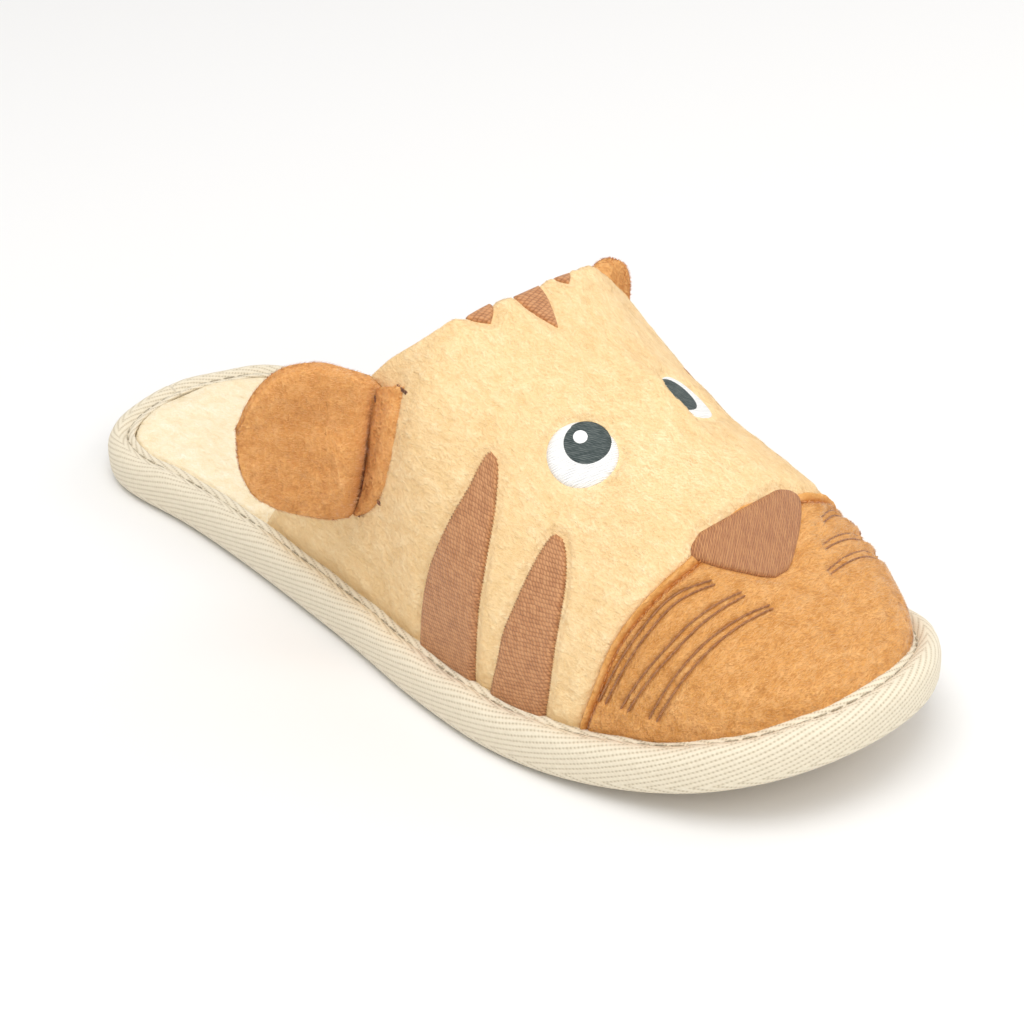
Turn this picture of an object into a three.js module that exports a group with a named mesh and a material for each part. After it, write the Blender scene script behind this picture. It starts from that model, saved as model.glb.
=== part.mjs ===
// Plush animal slipper with a tiger face, one shoe, standing empty on its sole.
// Millimetres, +Z up, toe toward -Y, heel toward +Y, origin on the floor below the middle.
// The shoe is the same on both sides of x = 0, so it fits either foot.
import * as THREE from 'three';

// Overall sizes
const length = 230;
const ballWidth = 93;
const heelWidth = 62.8;
const toeSpring = 13;
const toeSpringStart = 0.7;
const instepHeight = 78.1;
const clearance = 0.3;

// The sole stack, from the floor up
const outsoleThickness = 2.2;
const outsoleBevel = 0.8;
const midsoleThickness = 3.7;
const insoleThickness = 1.7;
const insoleCrown = 1.9;
const insoleRoll = 5;

// The tape that binds the edge of the stack
const bindingThickness = 1.5;
const bindingFlange = 6.5;
const bindingTuck = 5;
const bindingRidge = 0.6;

// The upper and its muzzle panel
const upperWall = 3.6;
const muzzleThickness = 1.2;
const collarTopFromToe = 99.3;
const collarFootFromHeel = 70;
const collarRoll = 1.1;

// Outline of the bound edge from heel to toe: each half width is a share of half the
// heel width plus a share of half the ball width.
const outlineRows = [
  { along: 0, heel: 0, ball: 0 },
  { along: 0.02, heel: 0.586, ball: 0 },
  { along: 0.05, heel: 0.854, ball: 0 },
  { along: 0.1, heel: 0.99, ball: 0 },
  { along: 0.2, heel: 1, ball: 0 },
  { along: 0.3, heel: 0.72, ball: 0.234 },
  { along: 0.4, heel: 0.4, ball: 0.517 },
  { along: 0.5, heel: 0.15, ball: 0.763 },
  { along: 0.6, heel: 0, ball: 0.957 },
  { along: 0.7, heel: 0, ball: 1 },
  { along: 0.8, heel: 0, ball: 0.948 },
  { along: 0.9, heel: 0, ball: 0.789 },
  { along: 0.95, heel: 0, ball: 0.613 },
  { along: 0.98, heel: 0, ball: 0.413 },
  { along: 1, heel: 0, ball: 0 },
];

// The vamp's ridge from the toe to the collar's top: its rise above the feather line is
// a share of the instep's rise, and each section is a superellipse of that squareness.
const ridgeRows = [
  { along: 0, rise: 0, square: 3 },
  { along: 0.018, rise: 0.072, square: 3 },
  { along: 0.056, rise: 0.14, square: 3 },
  { along: 0.121, rise: 0.23, square: 3 },
  { along: 0.186, rise: 0.305, square: 3 },
  { along: 0.244, rise: 0.378, square: 3 },
  { along: 0.3, rise: 0.465, square: 2.8 },
  { along: 0.346, rise: 0.535, square: 2.6 },
  { along: 0.402, rise: 0.594, square: 2.4 },
  { along: 0.5, rise: 0.661, square: 2.2 },
  { along: 0.63, rise: 0.733, square: 2.1 },
  { along: 0.76, rise: 0.816, square: 2.4 },
  { along: 0.895, rise: 0.918, square: 3.1 },
  { along: 1, rise: 1, square: 3.7 },
];

// The collar's edge by height, a share of the section's rise: back is a share of the way
// from the collar's top to its foot.
const collarRows = [
  { height: 0, back: 1 },
  { height: 0.22, back: 0.8 },
  { height: 0.45, back: 0.59 },
  { height: 0.65, back: 0.41 },
  { height: 0.8, back: 0.27 },
  { height: 0.87, back: 0.19 },
  { height: 0.95, back: 0.07 },
  { height: 1, back: 0 },
];
// Places on the vamp: along is a share of its length from the toe to the collar's top, and
// angle is in degrees round the section, from 0 at the feather line to 90 on the ridge.
const muzzleRows = [
  { angle: 0, along: 0.46 },
  { angle: 14, along: 0.428 },
  { angle: 28, along: 0.403 },
  { angle: 40, along: 0.376 },
  { angle: 51, along: 0.356 },
  { angle: 62, along: 0.345 },
  { angle: 78, along: 0.356 },
  { angle: 90, along: 0.364 },
];
const rearStripeRows = [
  { angle: 0, front: 0.76, back: 0.965 },
  { angle: 10, front: 0.755, back: 0.946 },
  { angle: 18, front: 0.754, back: 0.919 },
  { angle: 26, front: 0.752, back: 0.882 },
  { angle: 33, front: 0.755, back: 0.853 },
  { angle: 39, front: 0.762, back: 0.833 },
  { angle: 44, front: 0.776, back: 0.826 },
  { angle: 48.5, front: 0.806, back: 0.814 },
];
const frontStripeRows = [
  { angle: 0, front: 0.548, back: 0.71 },
  { angle: 10, front: 0.537, back: 0.686 },
  { angle: 18, front: 0.536, back: 0.676 },
  { angle: 25, front: 0.538, back: 0.66 },
  { angle: 31, front: 0.543, back: 0.65 },
  { angle: 37, front: 0.554, back: 0.641 },
  { angle: 42, front: 0.574, back: 0.633 },
  { angle: 45.5, front: 0.606, back: 0.614 },
];
const whiskerRows = [
  { angle: 12, first: 0.4, second: 0.348, third: 0.284 },
  { angle: 25, first: 0.367, second: 0.311, third: 0.258 },
  { angle: 38, first: 0.338, second: 0.28, third: 0.236 },
  { angle: 50, first: 0.318, second: 0.264, third: 0.222 },
  { angle: 62, first: 0.291, second: 0.252, third: 0.211 },
  { angle: 73, first: 0.27, second: 0.242, third: 0.201 },
];
const whiskerEnds = [
  { column: 'first', top: 62 },
  { column: 'second', top: 68 },
  { column: 'third', top: 73 },
];
const whiskerFoot = 13;
const motifFoot = 3.2;

// Embroidered motifs
const motifLift = 0.36;
const motifThickness = 0.7;
const faceShift = -1.2;
const eyeAlong = 0.663;
const eyeRadius = 7.2;
const pupilRadius = 4.9;
const pupilInward = 2.1;
const pupilBack = 1.1;
const eyes = [
  { side: 'right', angle: 66, inward: 1 },
  { side: 'left', angle: 110.5, inward: -1 },
];
const noseAlong = 0.298;
const noseWidth = 31;
const noseDrop = 15;
const whiskerWidth = 1.7;
const noseRows = [
  { drop: 0, half: 0.72 },
  { drop: 0.1, half: 0.93 },
  { drop: 0.24, half: 1 },
  { drop: 0.42, half: 0.88 },
  { drop: 0.6, half: 0.69 },
  { drop: 0.78, half: 0.46 },
  { drop: 0.92, half: 0.27 },
  { drop: 1, half: 0.12 },
];
const foreheadRows = [
  { back: 0, half: 0.03 },
  { back: 0.3, half: 0.48 },
  { back: 0.6, half: 0.84 },
  { back: 0.85, half: 1 },
  { back: 1, half: 1 },
];
const foreheadStripes = [
  { name: 'forehead_stripe_right', across: -12.7, width: 6.4, reach: 4.2 },
  { name: 'forehead_stripe_middle', across: 0, width: 7.2, reach: 10.4 },
  { name: 'forehead_stripe_left', across: 11, width: 6, reach: 3.4 },
];

// Ears: a tab sewn flat on the vamp, folded outward into a padded flap. The flap's
// outline is given by its reach as a share of its length, with its top and bottom as
// shares of the fold line.
const earPadding = 6.4;
const earEdge = 1.5;
const tabThickness = 1.6;
const tabBottomAngle = 18.5;
const tabTopAngle = 41;
const ears = [
  { name: 'ear_right', side: 1, reach: 28, sweep: 31.5, rise: 8.8 },
  { name: 'ear_left', side: -1, reach: 27, sweep: 26, rise: -12 },
];
const tabRows = [
  { up: 0, front: 1.155, fold: 1.205 },
  { up: 0.3, front: 1.085, fold: 1.185 },
  { up: 0.65, front: 1.055, fold: 1.16 },
  { up: 1, front: 1.062, fold: 1.138 },
];
const earRows = [
  { reach: 0.07, bottom: -0.015, top: 1.07 },
  { reach: 0.22, bottom: -0.026, top: 1.115 },
  { reach: 0.43, bottom: 0, top: 1.17 },
  { reach: 0.67, bottom: 0.07, top: 1.15 },
  { reach: 0.81, bottom: 0.16, top: 1.07 },
  { reach: 0.91, bottom: 0.3, top: 0.95 },
  { reach: 0.97, bottom: 0.45, top: 0.82 },
  { reach: 1, bottom: 0.6, top: 0.68 },
];

// Mesh steps
const outlineSteps = 76;
const plateSteps = 38;
const vampColumns = 32;
const vampRows = 15;
const muzzleRowCount = 9;

const edgeHeight = outsoleThickness + midsoleThickness + insoleThickness + bindingThickness
  + 3 * clearance;
const featherHeight = edgeHeight - bindingThickness;
const featherInset = bindingFlange + clearance;
const collarFootY = length / 2 - collarFootFromHeel;

// A smooth curve through rows of one table, by its named columns.
function smoothCurve(rows, inputName, outputName, warp = (v) => v) {
  const xs = rows.map((row) => warp(row[inputName]));
  const ys = rows.map((row) => row[outputName]);
  const last = xs.length - 1;
  const slopes = xs.map((x, i) => {
    const a = Math.max(i - 1, 0);
    const b = Math.min(i + 1, last);
    return (ys[b] - ys[a]) / (xs[b] - xs[a]);
  });
  return (value) => {
    const v = THREE.MathUtils.clamp(warp(value), xs[0], xs[last]);
    let i = 0;
    while (i < last - 1 && v > xs[i + 1]) i += 1;
    const step = xs[i + 1] - xs[i];
    const t = (v - xs[i]) / step;
    const h00 = (1 + 2 * t) * (1 - t) ** 2;
    const h01 = t * t * (3 - 2 * t);
    const h10 = t * (1 - t) ** 2;
    const h11 = t * t * (t - 1);
    return h00 * ys[i] + h01 * ys[i + 1] + step * (h10 * slopes[i] + h11 * slopes[i + 1]);
  };
}

// Turns a share of a rounded outline's length into even steps round its ends.
const roundEnds = (share) => Math.acos(THREE.MathUtils.clamp(1 - 2 * share, -1, 1)) / Math.PI;
const shareOfStep = (step) => (1 - Math.cos(Math.PI * step)) / 2;

const heelShare = smoothCurve(outlineRows, 'along', 'heel', roundEnds);
const ballShare = smoothCurve(outlineRows, 'along', 'ball', roundEnds);

function outlinePoint(step) {
  const along = shareOfStep(step);
  const half = (heelShare(along) * heelWidth + ballShare(along) * ballWidth) / 2;
  return new THREE.Vector2(half, length / 2 - along * length);
}

function outlineNormal(step) {
  const reach = 1e-4;
  const before = outlinePoint(Math.max(step - reach, 0));
  const after = outlinePoint(Math.min(step + reach, 1));
  if (step < reach) return new THREE.Vector2(0, 1);
  if (step > 1 - reach) return new THREE.Vector2(0, -1);
  const along = after.sub(before).normalize();
  return new THREE.Vector2(-along.y, along.x);
}

// How far the toe spring lifts everything at y.
function lift(y) {
  const along = (length / 2 - y) / length;
  const share = THREE.MathUtils.clamp((along - toeSpringStart) / (1 - toeSpringStart), 0, 1.2);
  return toeSpring * share * share;
}

// The outline set in by a distance: its heel, its toe and its half width at y.
function insetOutline(inset) {
  const samples = 240;
  const heel = length / 2 - inset;
  const toe = -length / 2 + inset;
  const steps = [];
  for (let i = 0; i <= samples; i += 1) {
    const edge = outlinePoint(i / samples);
    const point = edge.addScaledVector(outlineNormal(i / samples), -inset);
    const share = (heel - point.y) / (heel - toe);
    steps.push({ along: roundEnds(share), half: Math.max(point.x, 0) });
  }
  steps[0] = { along: 0, half: 0 };
  steps[samples] = { along: 1, half: 0 };
  return {
    heel,
    toe,
    half(y) {
      const value = roundEnds((heel - y) / (heel - toe));
      let i = 0;
      while (i < samples - 1 && value > steps[i + 1].along) i += 1;
      const t = (value - steps[i].along) / (steps[i + 1].along - steps[i].along);
      return THREE.MathUtils.lerp(steps[i].half, steps[i + 1].half, t);
    },
  };
}

// Closed solids from grids of points
function solidFromFaces(faces) {
  const index = new Map();
  const positions = [];
  const triangles = [];
  const numberOf = (point) => {
    const key = [point.x, point.y, point.z].map((v) => Math.round(v * 1e4)).join();
    if (!index.has(key)) {
      index.set(key, positions.length / 3);
      positions.push(point.x, point.y, point.z);
    }
    return index.get(key);
  };
  for (const face of faces) {
    const [a, b, c] = face.map(numberOf);
    if (a !== b && b !== c && c !== a) triangles.push(a, b, c);
  }
  const geometry = new THREE.BufferGeometry();
  geometry.setAttribute('position', new THREE.Float32BufferAttribute(positions, 3));
  geometry.setIndex(triangles);
  return geometry;
}

function addQuad(faces, a, b, c, d) {
  faces.push([a, b, c], [a, c, d]);
}

// A shell between an outer and an inner grid of the same size, closed along its edges.
function shellSolid(outer, inner, roundLoop = false) {
  const faces = [];
  const rows = outer.length - 1;
  const columns = outer[0].length - 1;
  for (let i = 0; i < rows; i += 1) {
    for (let j = 0; j < columns; j += 1) {
      addQuad(faces, outer[i][j], outer[i][j + 1], outer[i + 1][j + 1], outer[i + 1][j]);
      addQuad(faces, inner[i][j], inner[i + 1][j], inner[i + 1][j + 1], inner[i][j + 1]);
    }
    if (!roundLoop) {
      const last = columns;
      addQuad(faces, outer[i][0], outer[i + 1][0], inner[i + 1][0], inner[i][0]);
      addQuad(faces, outer[i + 1][last], outer[i][last], inner[i][last], inner[i + 1][last]);
    }
  }
  for (let j = 0; j < columns; j += 1) {
    addQuad(faces, outer[0][j + 1], outer[0][j], inner[0][j], inner[0][j + 1]);
    addQuad(faces, outer[rows][j], outer[rows][j + 1], inner[rows][j + 1], inner[rows][j]);
  }
  return solidFromFaces(faces);
}

// A body through a row of closed sections; its end sections have shrunk to a line.
function loftSolid(sections, closedRow = false) {
  const faces = [];
  const count = sections.length;
  const spans = closedRow ? count : count - 1;
  for (let i = 0; i < spans; i += 1) {
    const here = sections[i];
    const next = sections[(i + 1) % count];
    for (let j = 0; j < here.length; j += 1) {
      const k = (j + 1) % here.length;
      addQuad(faces, here[k], here[j], next[j], next[k]);
    }
  }
  return solidFromFaces(faces);
}

function fabric(name, color, roughness) {
  const material = new THREE.MeshStandardMaterial({ color, roughness, metalness: 0 });
  material.name = name;
  return material;
}

const creamPlush = fabric('cream_plush', '#f3d9a8', 0.95);
const orangePlush = fabric('orange_plush', '#dd995a', 0.95);
const footbedPlush = fabric('footbed_plush', '#fbe5bd', 0.95);
const twillTape = fabric('twill_tape', '#e2d4b4', 0.85);
const foamBoard = fabric('foam_board', '#ece6da', 0.9);
const gripSole = fabric('grip_sole', '#cbb28c', 0.8);
const brownThread = fabric('brown_thread', '#b98158', 0.6);
const whiteThread = fabric('white_thread', '#f8f8f6', 0.55);
const greyThread = fabric('grey_thread', '#5b6563', 0.5);
const whiskerThread = fabric('whisker_thread', '#9a6236', 0.6);

const slipper = new THREE.Group();

function addPart(name, geometry, material) {
  const mesh = new THREE.Mesh(geometry, material);
  mesh.name = name;
  slipper.add(mesh);
}

// Flat layers of the sole stack: a bottom and a top, with bevelled edges.
function plate(inset, bottom, thickness, bevel) {
  const edge = insetOutline(inset);
  const sections = [];
  for (let i = 0; i <= plateSteps; i += 1) {
    const y = THREE.MathUtils.lerp(edge.heel, edge.toe, shareOfStep(i / plateSteps));
    const half = edge.half(y);
    const inner = Math.max(half - bevel, 0) * (i % plateSteps === 0 ? 0 : 1);
    const base = bottom + lift(y);
    sections.push([
      new THREE.Vector3(inner, y, base),
      new THREE.Vector3(-inner, y, base),
      new THREE.Vector3(-half, y, base + bevel),
      new THREE.Vector3(-half, y, base + thickness),
      new THREE.Vector3(half, y, base + thickness),
      new THREE.Vector3(half, y, base + bevel),
    ]);
  }
  return loftSolid(sections);
}

addPart('outsole', plate(bindingTuck + clearance, 0, outsoleThickness, outsoleBevel), gripSole);
const midsoleBottom = outsoleThickness + clearance;
const midsoleInset = bindingThickness + clearance;
addPart('midsole', plate(midsoleInset, midsoleBottom, midsoleThickness, outsoleBevel), foamBoard);

// The footbed is thin below the tape and the upper's foot, and crowned inside them.
function footbed() {
  const bottom = midsoleBottom + midsoleThickness + clearance;
  const top = bottom + insoleThickness;
  const edge = insetOutline(midsoleInset);
  const openRim = insetOutline(bindingFlange + clearance);
  const wallRim = insetOutline(featherInset + upperWall + clearance);
  const crownShares = [1, 0.93, 0.84, 0.7, 0.35];
  const sections = [];
  for (let i = 0; i <= plateSteps; i += 1) {
    const y = THREE.MathUtils.lerp(edge.heel, edge.toe, shareOfStep(i / plateSteps));
    const half = edge.half(y);
    const behindWall = THREE.MathUtils.smoothstep(y, collarFootY + clearance, collarFootY + insoleRoll);
    const inside = y < openRim.heel && y > wallRim.toe;
    const rim = inside ? THREE.MathUtils.lerp(wallRim.half(y), openRim.half(y), behindWall) : 0;
    const fromEnds = Math.min(openRim.heel - y, y - wallRim.toe);
    const crownHalf = [half, ...crownShares.map((share) => share * rim)];
    const across = [...crownHalf.map((x) => -x), 0, ...crownHalf.reverse()];
    const section = [
      new THREE.Vector3(half, y, bottom + lift(y)),
      new THREE.Vector3(-half, y, bottom + lift(y)),
    ];
    for (const x of across) {
      const fromRim = Math.min(rim - Math.abs(x), fromEnds);
      const rise = insoleCrown * THREE.MathUtils.smoothstep(fromRim, 0, insoleRoll);
      section.push(new THREE.Vector3(x, y, top + rise + lift(y)));
    }
    sections.push(section);
  }
  return loftSolid(sections);
}
addPart('insole', footbed(), footbedPlush);

// The binding tape: a C-shaped section swept round the whole edge. Each point is an
// inset from the outline and a height; the outer face is rounded in shares of the tape.
function bindingSection() {
  const top = edgeHeight;
  const under = outsoleThickness - bindingThickness;
  const wall = bindingThickness;
  const middle = (top + under) / 2;
  const ridgeFoot = 0.62;
  const ridgeTop = 0.36;
  const roundShare = 0.6;
  return [
    [bindingFlange, top],
    [bindingFlange * ridgeFoot, top + bindingRidge / 3],
    [bindingFlange * ridgeTop, top + bindingRidge],
    [wall * roundShare, top - wall / 10],
    [wall / 10, top - wall * (2 * roundShare)],
    [0, middle],
    [wall / 3, under + wall * roundShare],
    [wall, under],
    [bindingTuck, under],
    [bindingTuck, under + wall],
    [wall, under + wall],
    [wall, middle],
    [wall, top - wall],
    [bindingFlange, top - wall],
  ];
}

function binding() {
  const profile = bindingSection();
  const sections = [];
  for (let i = 0; i < outlineSteps; i += 1) {
    const turn = (2 * i) / outlineSteps;
    const side = turn <= 1 ? 1 : -1;
    const step = turn <= 1 ? turn : 2 - turn;
    const edge = outlinePoint(step);
    const normal = outlineNormal(step);
    sections.push(profile.map(([inset, height]) => {
      const x = side * (edge.x - normal.x * inset);
      const y = edge.y - normal.y * inset;
      return new THREE.Vector3(x, y, height + lift(y));
    }));
  }
  return loftSolid(sections, true);
}
addPart('edge_binding', binding(), twillTape);

// The vamp's surface, set in by a distance from its outer face. along runs from the toe
// at 0 to the collar's top at 1 and on to its foot; angle runs from one side at 0 over
// the ridge to the other side at 180 degrees.
const toeY = -length / 2 + featherInset;
const collarTopY = -length / 2 + collarTopFromToe;
const vampLength = collarTopY - toeY;
const instepRise = instepHeight - featherHeight;
const riseShare = smoothCurve(ridgeRows, 'along', 'rise', Math.sqrt);
const squareAt = smoothCurve(ridgeRows, 'along', 'square', Math.sqrt);
const collarBack = smoothCurve(collarRows, 'height', 'back');
const muzzleAlong = smoothCurve(muzzleRows, 'angle', 'along');

const yAt = (along) => toeY + vampLength * along;

function ridgeRise(y) {
  return instepRise * riseShare(Math.max((y - toeY) / vampLength, 0));
}

// The ridge's side profile, set in by a distance along its normals.
function insetRidge(inset) {
  const samples = 160;
  const ridgeEnd = 1.3;
  const reach = 0.02;
  const toe = toeY + inset;
  const rows = [{ back: 0, rise: 0 }];
  for (let i = 1; i <= samples; i += 1) {
    const y = yAt(ridgeEnd * (i / samples) ** 2);
    const slope = (ridgeRise(y + reach) - ridgeRise(y - reach)) / (2 * reach);
    const tilt = Math.atan(slope);
    const back = y + inset * Math.sin(tilt) - toe;
    const rise = ridgeRise(y) - inset * Math.cos(tilt);
    if (back > rows.at(-1).back && rise > 0) rows.push({ back, rise });
  }
  return (y) => {
    const back = y - toe;
    if (back >= rows.at(-1).back) return rows.at(-1).rise;
    let i = 0;
    while (back > rows[i + 1].back) i += 1;
    const from = Math.sqrt(rows[i].back);
    const t = (Math.sqrt(Math.max(back, 0)) - from) / (Math.sqrt(rows[i + 1].back) - from);
    return THREE.MathUtils.lerp(rows[i].rise, rows[i + 1].rise, t);
  };
}

function vampFace(inset) {
  const edge = insetOutline(featherInset + inset);
  const rise = insetRidge(inset);
  return {
    toe: edge.toe,
    point(y, angle) {
      const square = squareAt(Math.max((y - toeY) / vampLength, 0));
      const c = Math.cos(angle);
      const s = Math.sin(angle);
      const radius = (Math.abs(c) ** square + s ** square) ** (-1 / square);
      const z = featherHeight + lift(y) + rise(y) * radius * s;
      return new THREE.Vector3(-edge.half(y) * radius * c, y, z);
    },
  };
}

function sectionHeight(y, angle) {
  const square = squareAt(Math.max((y - toeY) / vampLength, 0));
  const c = Math.abs(Math.cos(angle));
  const s = Math.sin(angle);
  return s * (c ** square + s ** square) ** (-1 / square);
}

// Columns stand closer together on the steep sides than over the ridge.
const sideCrowding = 0.62;
function columnAngle(j, columns) {
  const t = (Math.PI * j) / columns;
  return Math.atan2(sideCrowding * Math.sin(t), Math.cos(t));
}

function collarY(angle) {
  const height = sectionHeight(collarTopY, angle);
  return THREE.MathUtils.lerp(collarTopY, collarFootY, collarBack(height));
}

// Degrees round the section from the nearer feather line.
const fromFeather = (angle) => THREE.MathUtils.radToDeg(Math.min(angle, Math.PI - angle));
const muzzleY = (angle) => yAt(muzzleAlong(fromFeather(angle)));

const outerFace = vampFace(0);
const muzzleBack = vampFace(muzzleThickness);
const upperFront = vampFace(muzzleThickness + clearance);
const lining = vampFace(upperWall);
const collarOuter = vampFace(collarRoll);
const collarInner = vampFace(upperWall - collarRoll);

// One row of points across the vamp, part of the way from the toe to an end line.
function vampRow(face, endLine, share) {
  const row = [];
  for (let j = 0; j <= vampColumns; j += 1) {
    const angle = columnAngle(j, vampColumns);
    row.push(face.point(THREE.MathUtils.lerp(face.toe, endLine(angle), share), angle));
  }
  return row;
}

// Rows from one line to another line further back on the same face.
function vampRowBetween(face, startLine, endLine, share) {
  const row = [];
  for (let j = 0; j <= vampColumns; j += 1) {
    const angle = columnAngle(j, vampColumns);
    row.push(face.point(THREE.MathUtils.lerp(startLine(angle), endLine(angle), share), angle));
  }
  return row;
}

const toeEase = (share) => 1 - Math.cos((share * Math.PI) / 2);
const seamFront = (angle) => muzzleY(angle) - clearance / 2;
const seamBack = (angle) => muzzleY(angle) + clearance / 2;
const collarBend = (angle) => collarY(angle) - collarRoll;

function muzzlePanel() {
  const outer = [];
  const inner = [];
  for (let i = 0; i <= muzzleRowCount; i += 1) {
    const share = toeEase(i / muzzleRowCount);
    outer.push(vampRow(outerFace, seamFront, share));
    inner.push(vampRow(muzzleBack, seamFront, share));
  }
  return shellSolid(outer, inner);
}
addPart('muzzle_panel', muzzlePanel(), orangePlush);

// The upper is stepped down below the muzzle panel and its collar edge is rolled.
function upper() {
  const outer = [];
  const inner = [];
  for (let i = 0; i <= muzzleRowCount; i += 1) {
    const share = toeEase(i / muzzleRowCount);
    outer.push(vampRow(upperFront, seamBack, share));
    inner.push(vampRow(lining, seamBack, share));
  }
  for (let i = 0; i <= vampRows; i += 1) {
    outer.push(vampRowBetween(outerFace, seamBack, collarBend, i / vampRows));
    inner.push(vampRowBetween(lining, seamBack, collarBend, i / vampRows));
  }
  outer.push(vampRowBetween(collarOuter, seamBack, collarY, 1));
  inner.push(vampRowBetween(collarInner, seamBack, collarY, 1));
  return shellSolid(outer, inner);
}
addPart('upper', upper(), creamPlush);

// A place on the vamp's outer face, standing out from it by a height.
function onVamp(y, angle, height) {
  const reach = 0.01;
  const along = outerFace.point(y + reach, angle).sub(outerFace.point(y - reach, angle));
  const round = outerFace.point(y, angle + reach).sub(outerFace.point(y, angle - reach));
  const normal = round.cross(along).normalize();
  return outerFace.point(y, angle).addScaledVector(normal, height);
}

// A flat drawing frame that touches the vamp, for motifs laid out in millimetres.
function motifFrame(along, angle) {
  const y = yAt(along);
  const origin = outerFace.point(y, angle);
  const normal = onVamp(y, angle, 1).sub(origin);
  const back = outerFace.point(y + 0.1, angle).sub(origin);
  back.addScaledVector(normal, -back.dot(normal)).normalize();
  return { y, angle, origin, back, across: back.clone().cross(normal) };
}

// Finds the vamp's y and angle below a point of a motif's frame.
function underMotif(frame, across, back) {
  const target = frame.origin.clone();
  target.addScaledVector(frame.across, across).addScaledVector(frame.back, back);
  const miss = (y, angle) => {
    const gap = outerFace.point(y, angle).sub(target);
    return [gap.dot(frame.across), gap.dot(frame.back)];
  };
  const reach = 0.001;
  const rounds = 8;
  let y = frame.y + back;
  let angle = frame.angle;
  for (let i = 0; i < rounds; i += 1) {
    const [a, b] = miss(y, angle);
    const [ay, by] = miss(y + reach, angle);
    const [at, bt] = miss(y, angle + reach);
    const m = [(ay - a) / reach, (at - a) / reach, (by - b) / reach, (bt - b) / reach];
    const area = m[0] * m[3] - m[1] * m[2];
    y -= (a * m[3] - b * m[1]) / area;
    angle -= (m[0] * b - m[2] * a) / area;
  }
  return { y, angle };
}

// A thin patch from a grid of places on the vamp, each { y, angle }.
function patchSolid(places, bottom, thickness, roundLoop = false) {
  const face = (height) => places.map((row) => row.map((at) => onVamp(at.y, at.angle, height)));
  return shellSolid(face(bottom + thickness), face(bottom), roundLoop);
}

function mirrored(geometry) {
  const copy = geometry.clone().scale(-1, 1, 1);
  const index = copy.getIndex();
  for (let i = 0; i < index.count; i += 3) {
    const first = index.getX(i);
    index.setX(i, index.getX(i + 1));
    index.setX(i + 1, first);
  }
  return copy;
}

function addPair(name, geometry, material) {
  addPart(`${name}_right`, geometry, material);
  addPart(`${name}_left`, mirrored(geometry), material);
}

// The column lines of the vamp between two angles in degrees, with both ends.
function columnsBetween(from, to) {
  const columns = [from];
  for (let j = 1; j < vampColumns; j += 1) {
    const angle = THREE.MathUtils.radToDeg(columnAngle(j, vampColumns));
    if (angle > from + 1 && angle < to - 1) columns.push(angle);
  }
  columns.push(to);
  return columns;
}

// Side stripes: narrow flames that stand on the feather line and point to the forehead.
function sideStripe(rows) {
  const front = smoothCurve(rows, 'angle', 'front');
  const back = smoothCurve(rows, 'angle', 'back');
  const spans = 3;
  const places = columnsBetween(motifFoot, rows.at(-1).angle).map((angle) => {
    const row = [];
    for (let i = 0; i <= spans; i += 1) {
      const along = THREE.MathUtils.lerp(back(angle), front(angle), i / spans);
      row.push({ y: yAt(along), angle: THREE.MathUtils.degToRad(angle) });
    }
    return row;
  });
  return patchSolid(places, motifLift, motifThickness);
}
addPair('side_stripe_rear', sideStripe(rearStripeRows), brownThread);
addPair('side_stripe_front', sideStripe(frontStripeRows), brownThread);

// Whiskers: three rows of satin stitch on each cheek.
function whisker({ column, top }) {
  const along = smoothCurve(whiskerRows, 'angle', column);
  const places = columnsBetween(whiskerFoot, top).map((angle) => {
    const at = THREE.MathUtils.degToRad(angle);
    const middle = yAt(along(angle));
    return [0.5, -0.5].map((share) => ({ y: middle + share * whiskerWidth, angle: at }));
  });
  return patchSolid(places, motifLift, motifThickness);
}
for (const [i, end] of whiskerEnds.entries()) {
  addPair(`whisker_${i + 1}`, whisker(end), whiskerThread);
}

// Eyes: a round white with a dark pupil on it, set toward the nose's side and the collar.
function disc(frame, radius, across, back, bottom) {
  const spokes = 14;
  const places = [0, 0.6, 1].map((share) => {
    const ring = [];
    for (let j = 0; j <= spokes; j += 1) {
      const turn = (2 * Math.PI * (j % spokes)) / spokes;
      const a = across + radius * share * Math.cos(turn);
      const b = back - radius * share * Math.sin(turn);
      ring.push(underMotif(frame, a, b));
    }
    return ring;
  });
  return patchSolid(places, bottom, motifThickness, true);
}
const pupilBottom = motifLift + motifThickness + clearance;
for (const { side, angle, inward } of eyes) {
  const frame = motifFrame(eyeAlong, THREE.MathUtils.degToRad(angle));
  const pupil = disc(frame, pupilRadius, inward * pupilInward, pupilBack, pupilBottom);
  addPart(`eye_white_${side}`, disc(frame, eyeRadius, 0, 0, motifLift), whiteThread);
  addPart(`pupil_${side}`, pupil, greyThread);
}

// The nose: a rounded triangle, wide at the top.
function nose() {
  const frame = motifFrame(noseAlong, Math.PI / 2);
  const half = smoothCurve(noseRows, 'drop', 'half');
  const spans = 6;
  const places = noseRows.map(({ drop }) => {
    const row = [];
    for (let i = 0; i <= spans; i += 1) {
      const across = faceShift + half(drop) * noseWidth * (i / spans - 0.5);
      row.push(underMotif(frame, across, noseDrop * (0.5 - drop)));
    }
    return row;
  });
  return patchSolid(places.reverse(), motifLift, motifThickness);
}
addPart('nose', nose(), brownThread);

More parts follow.
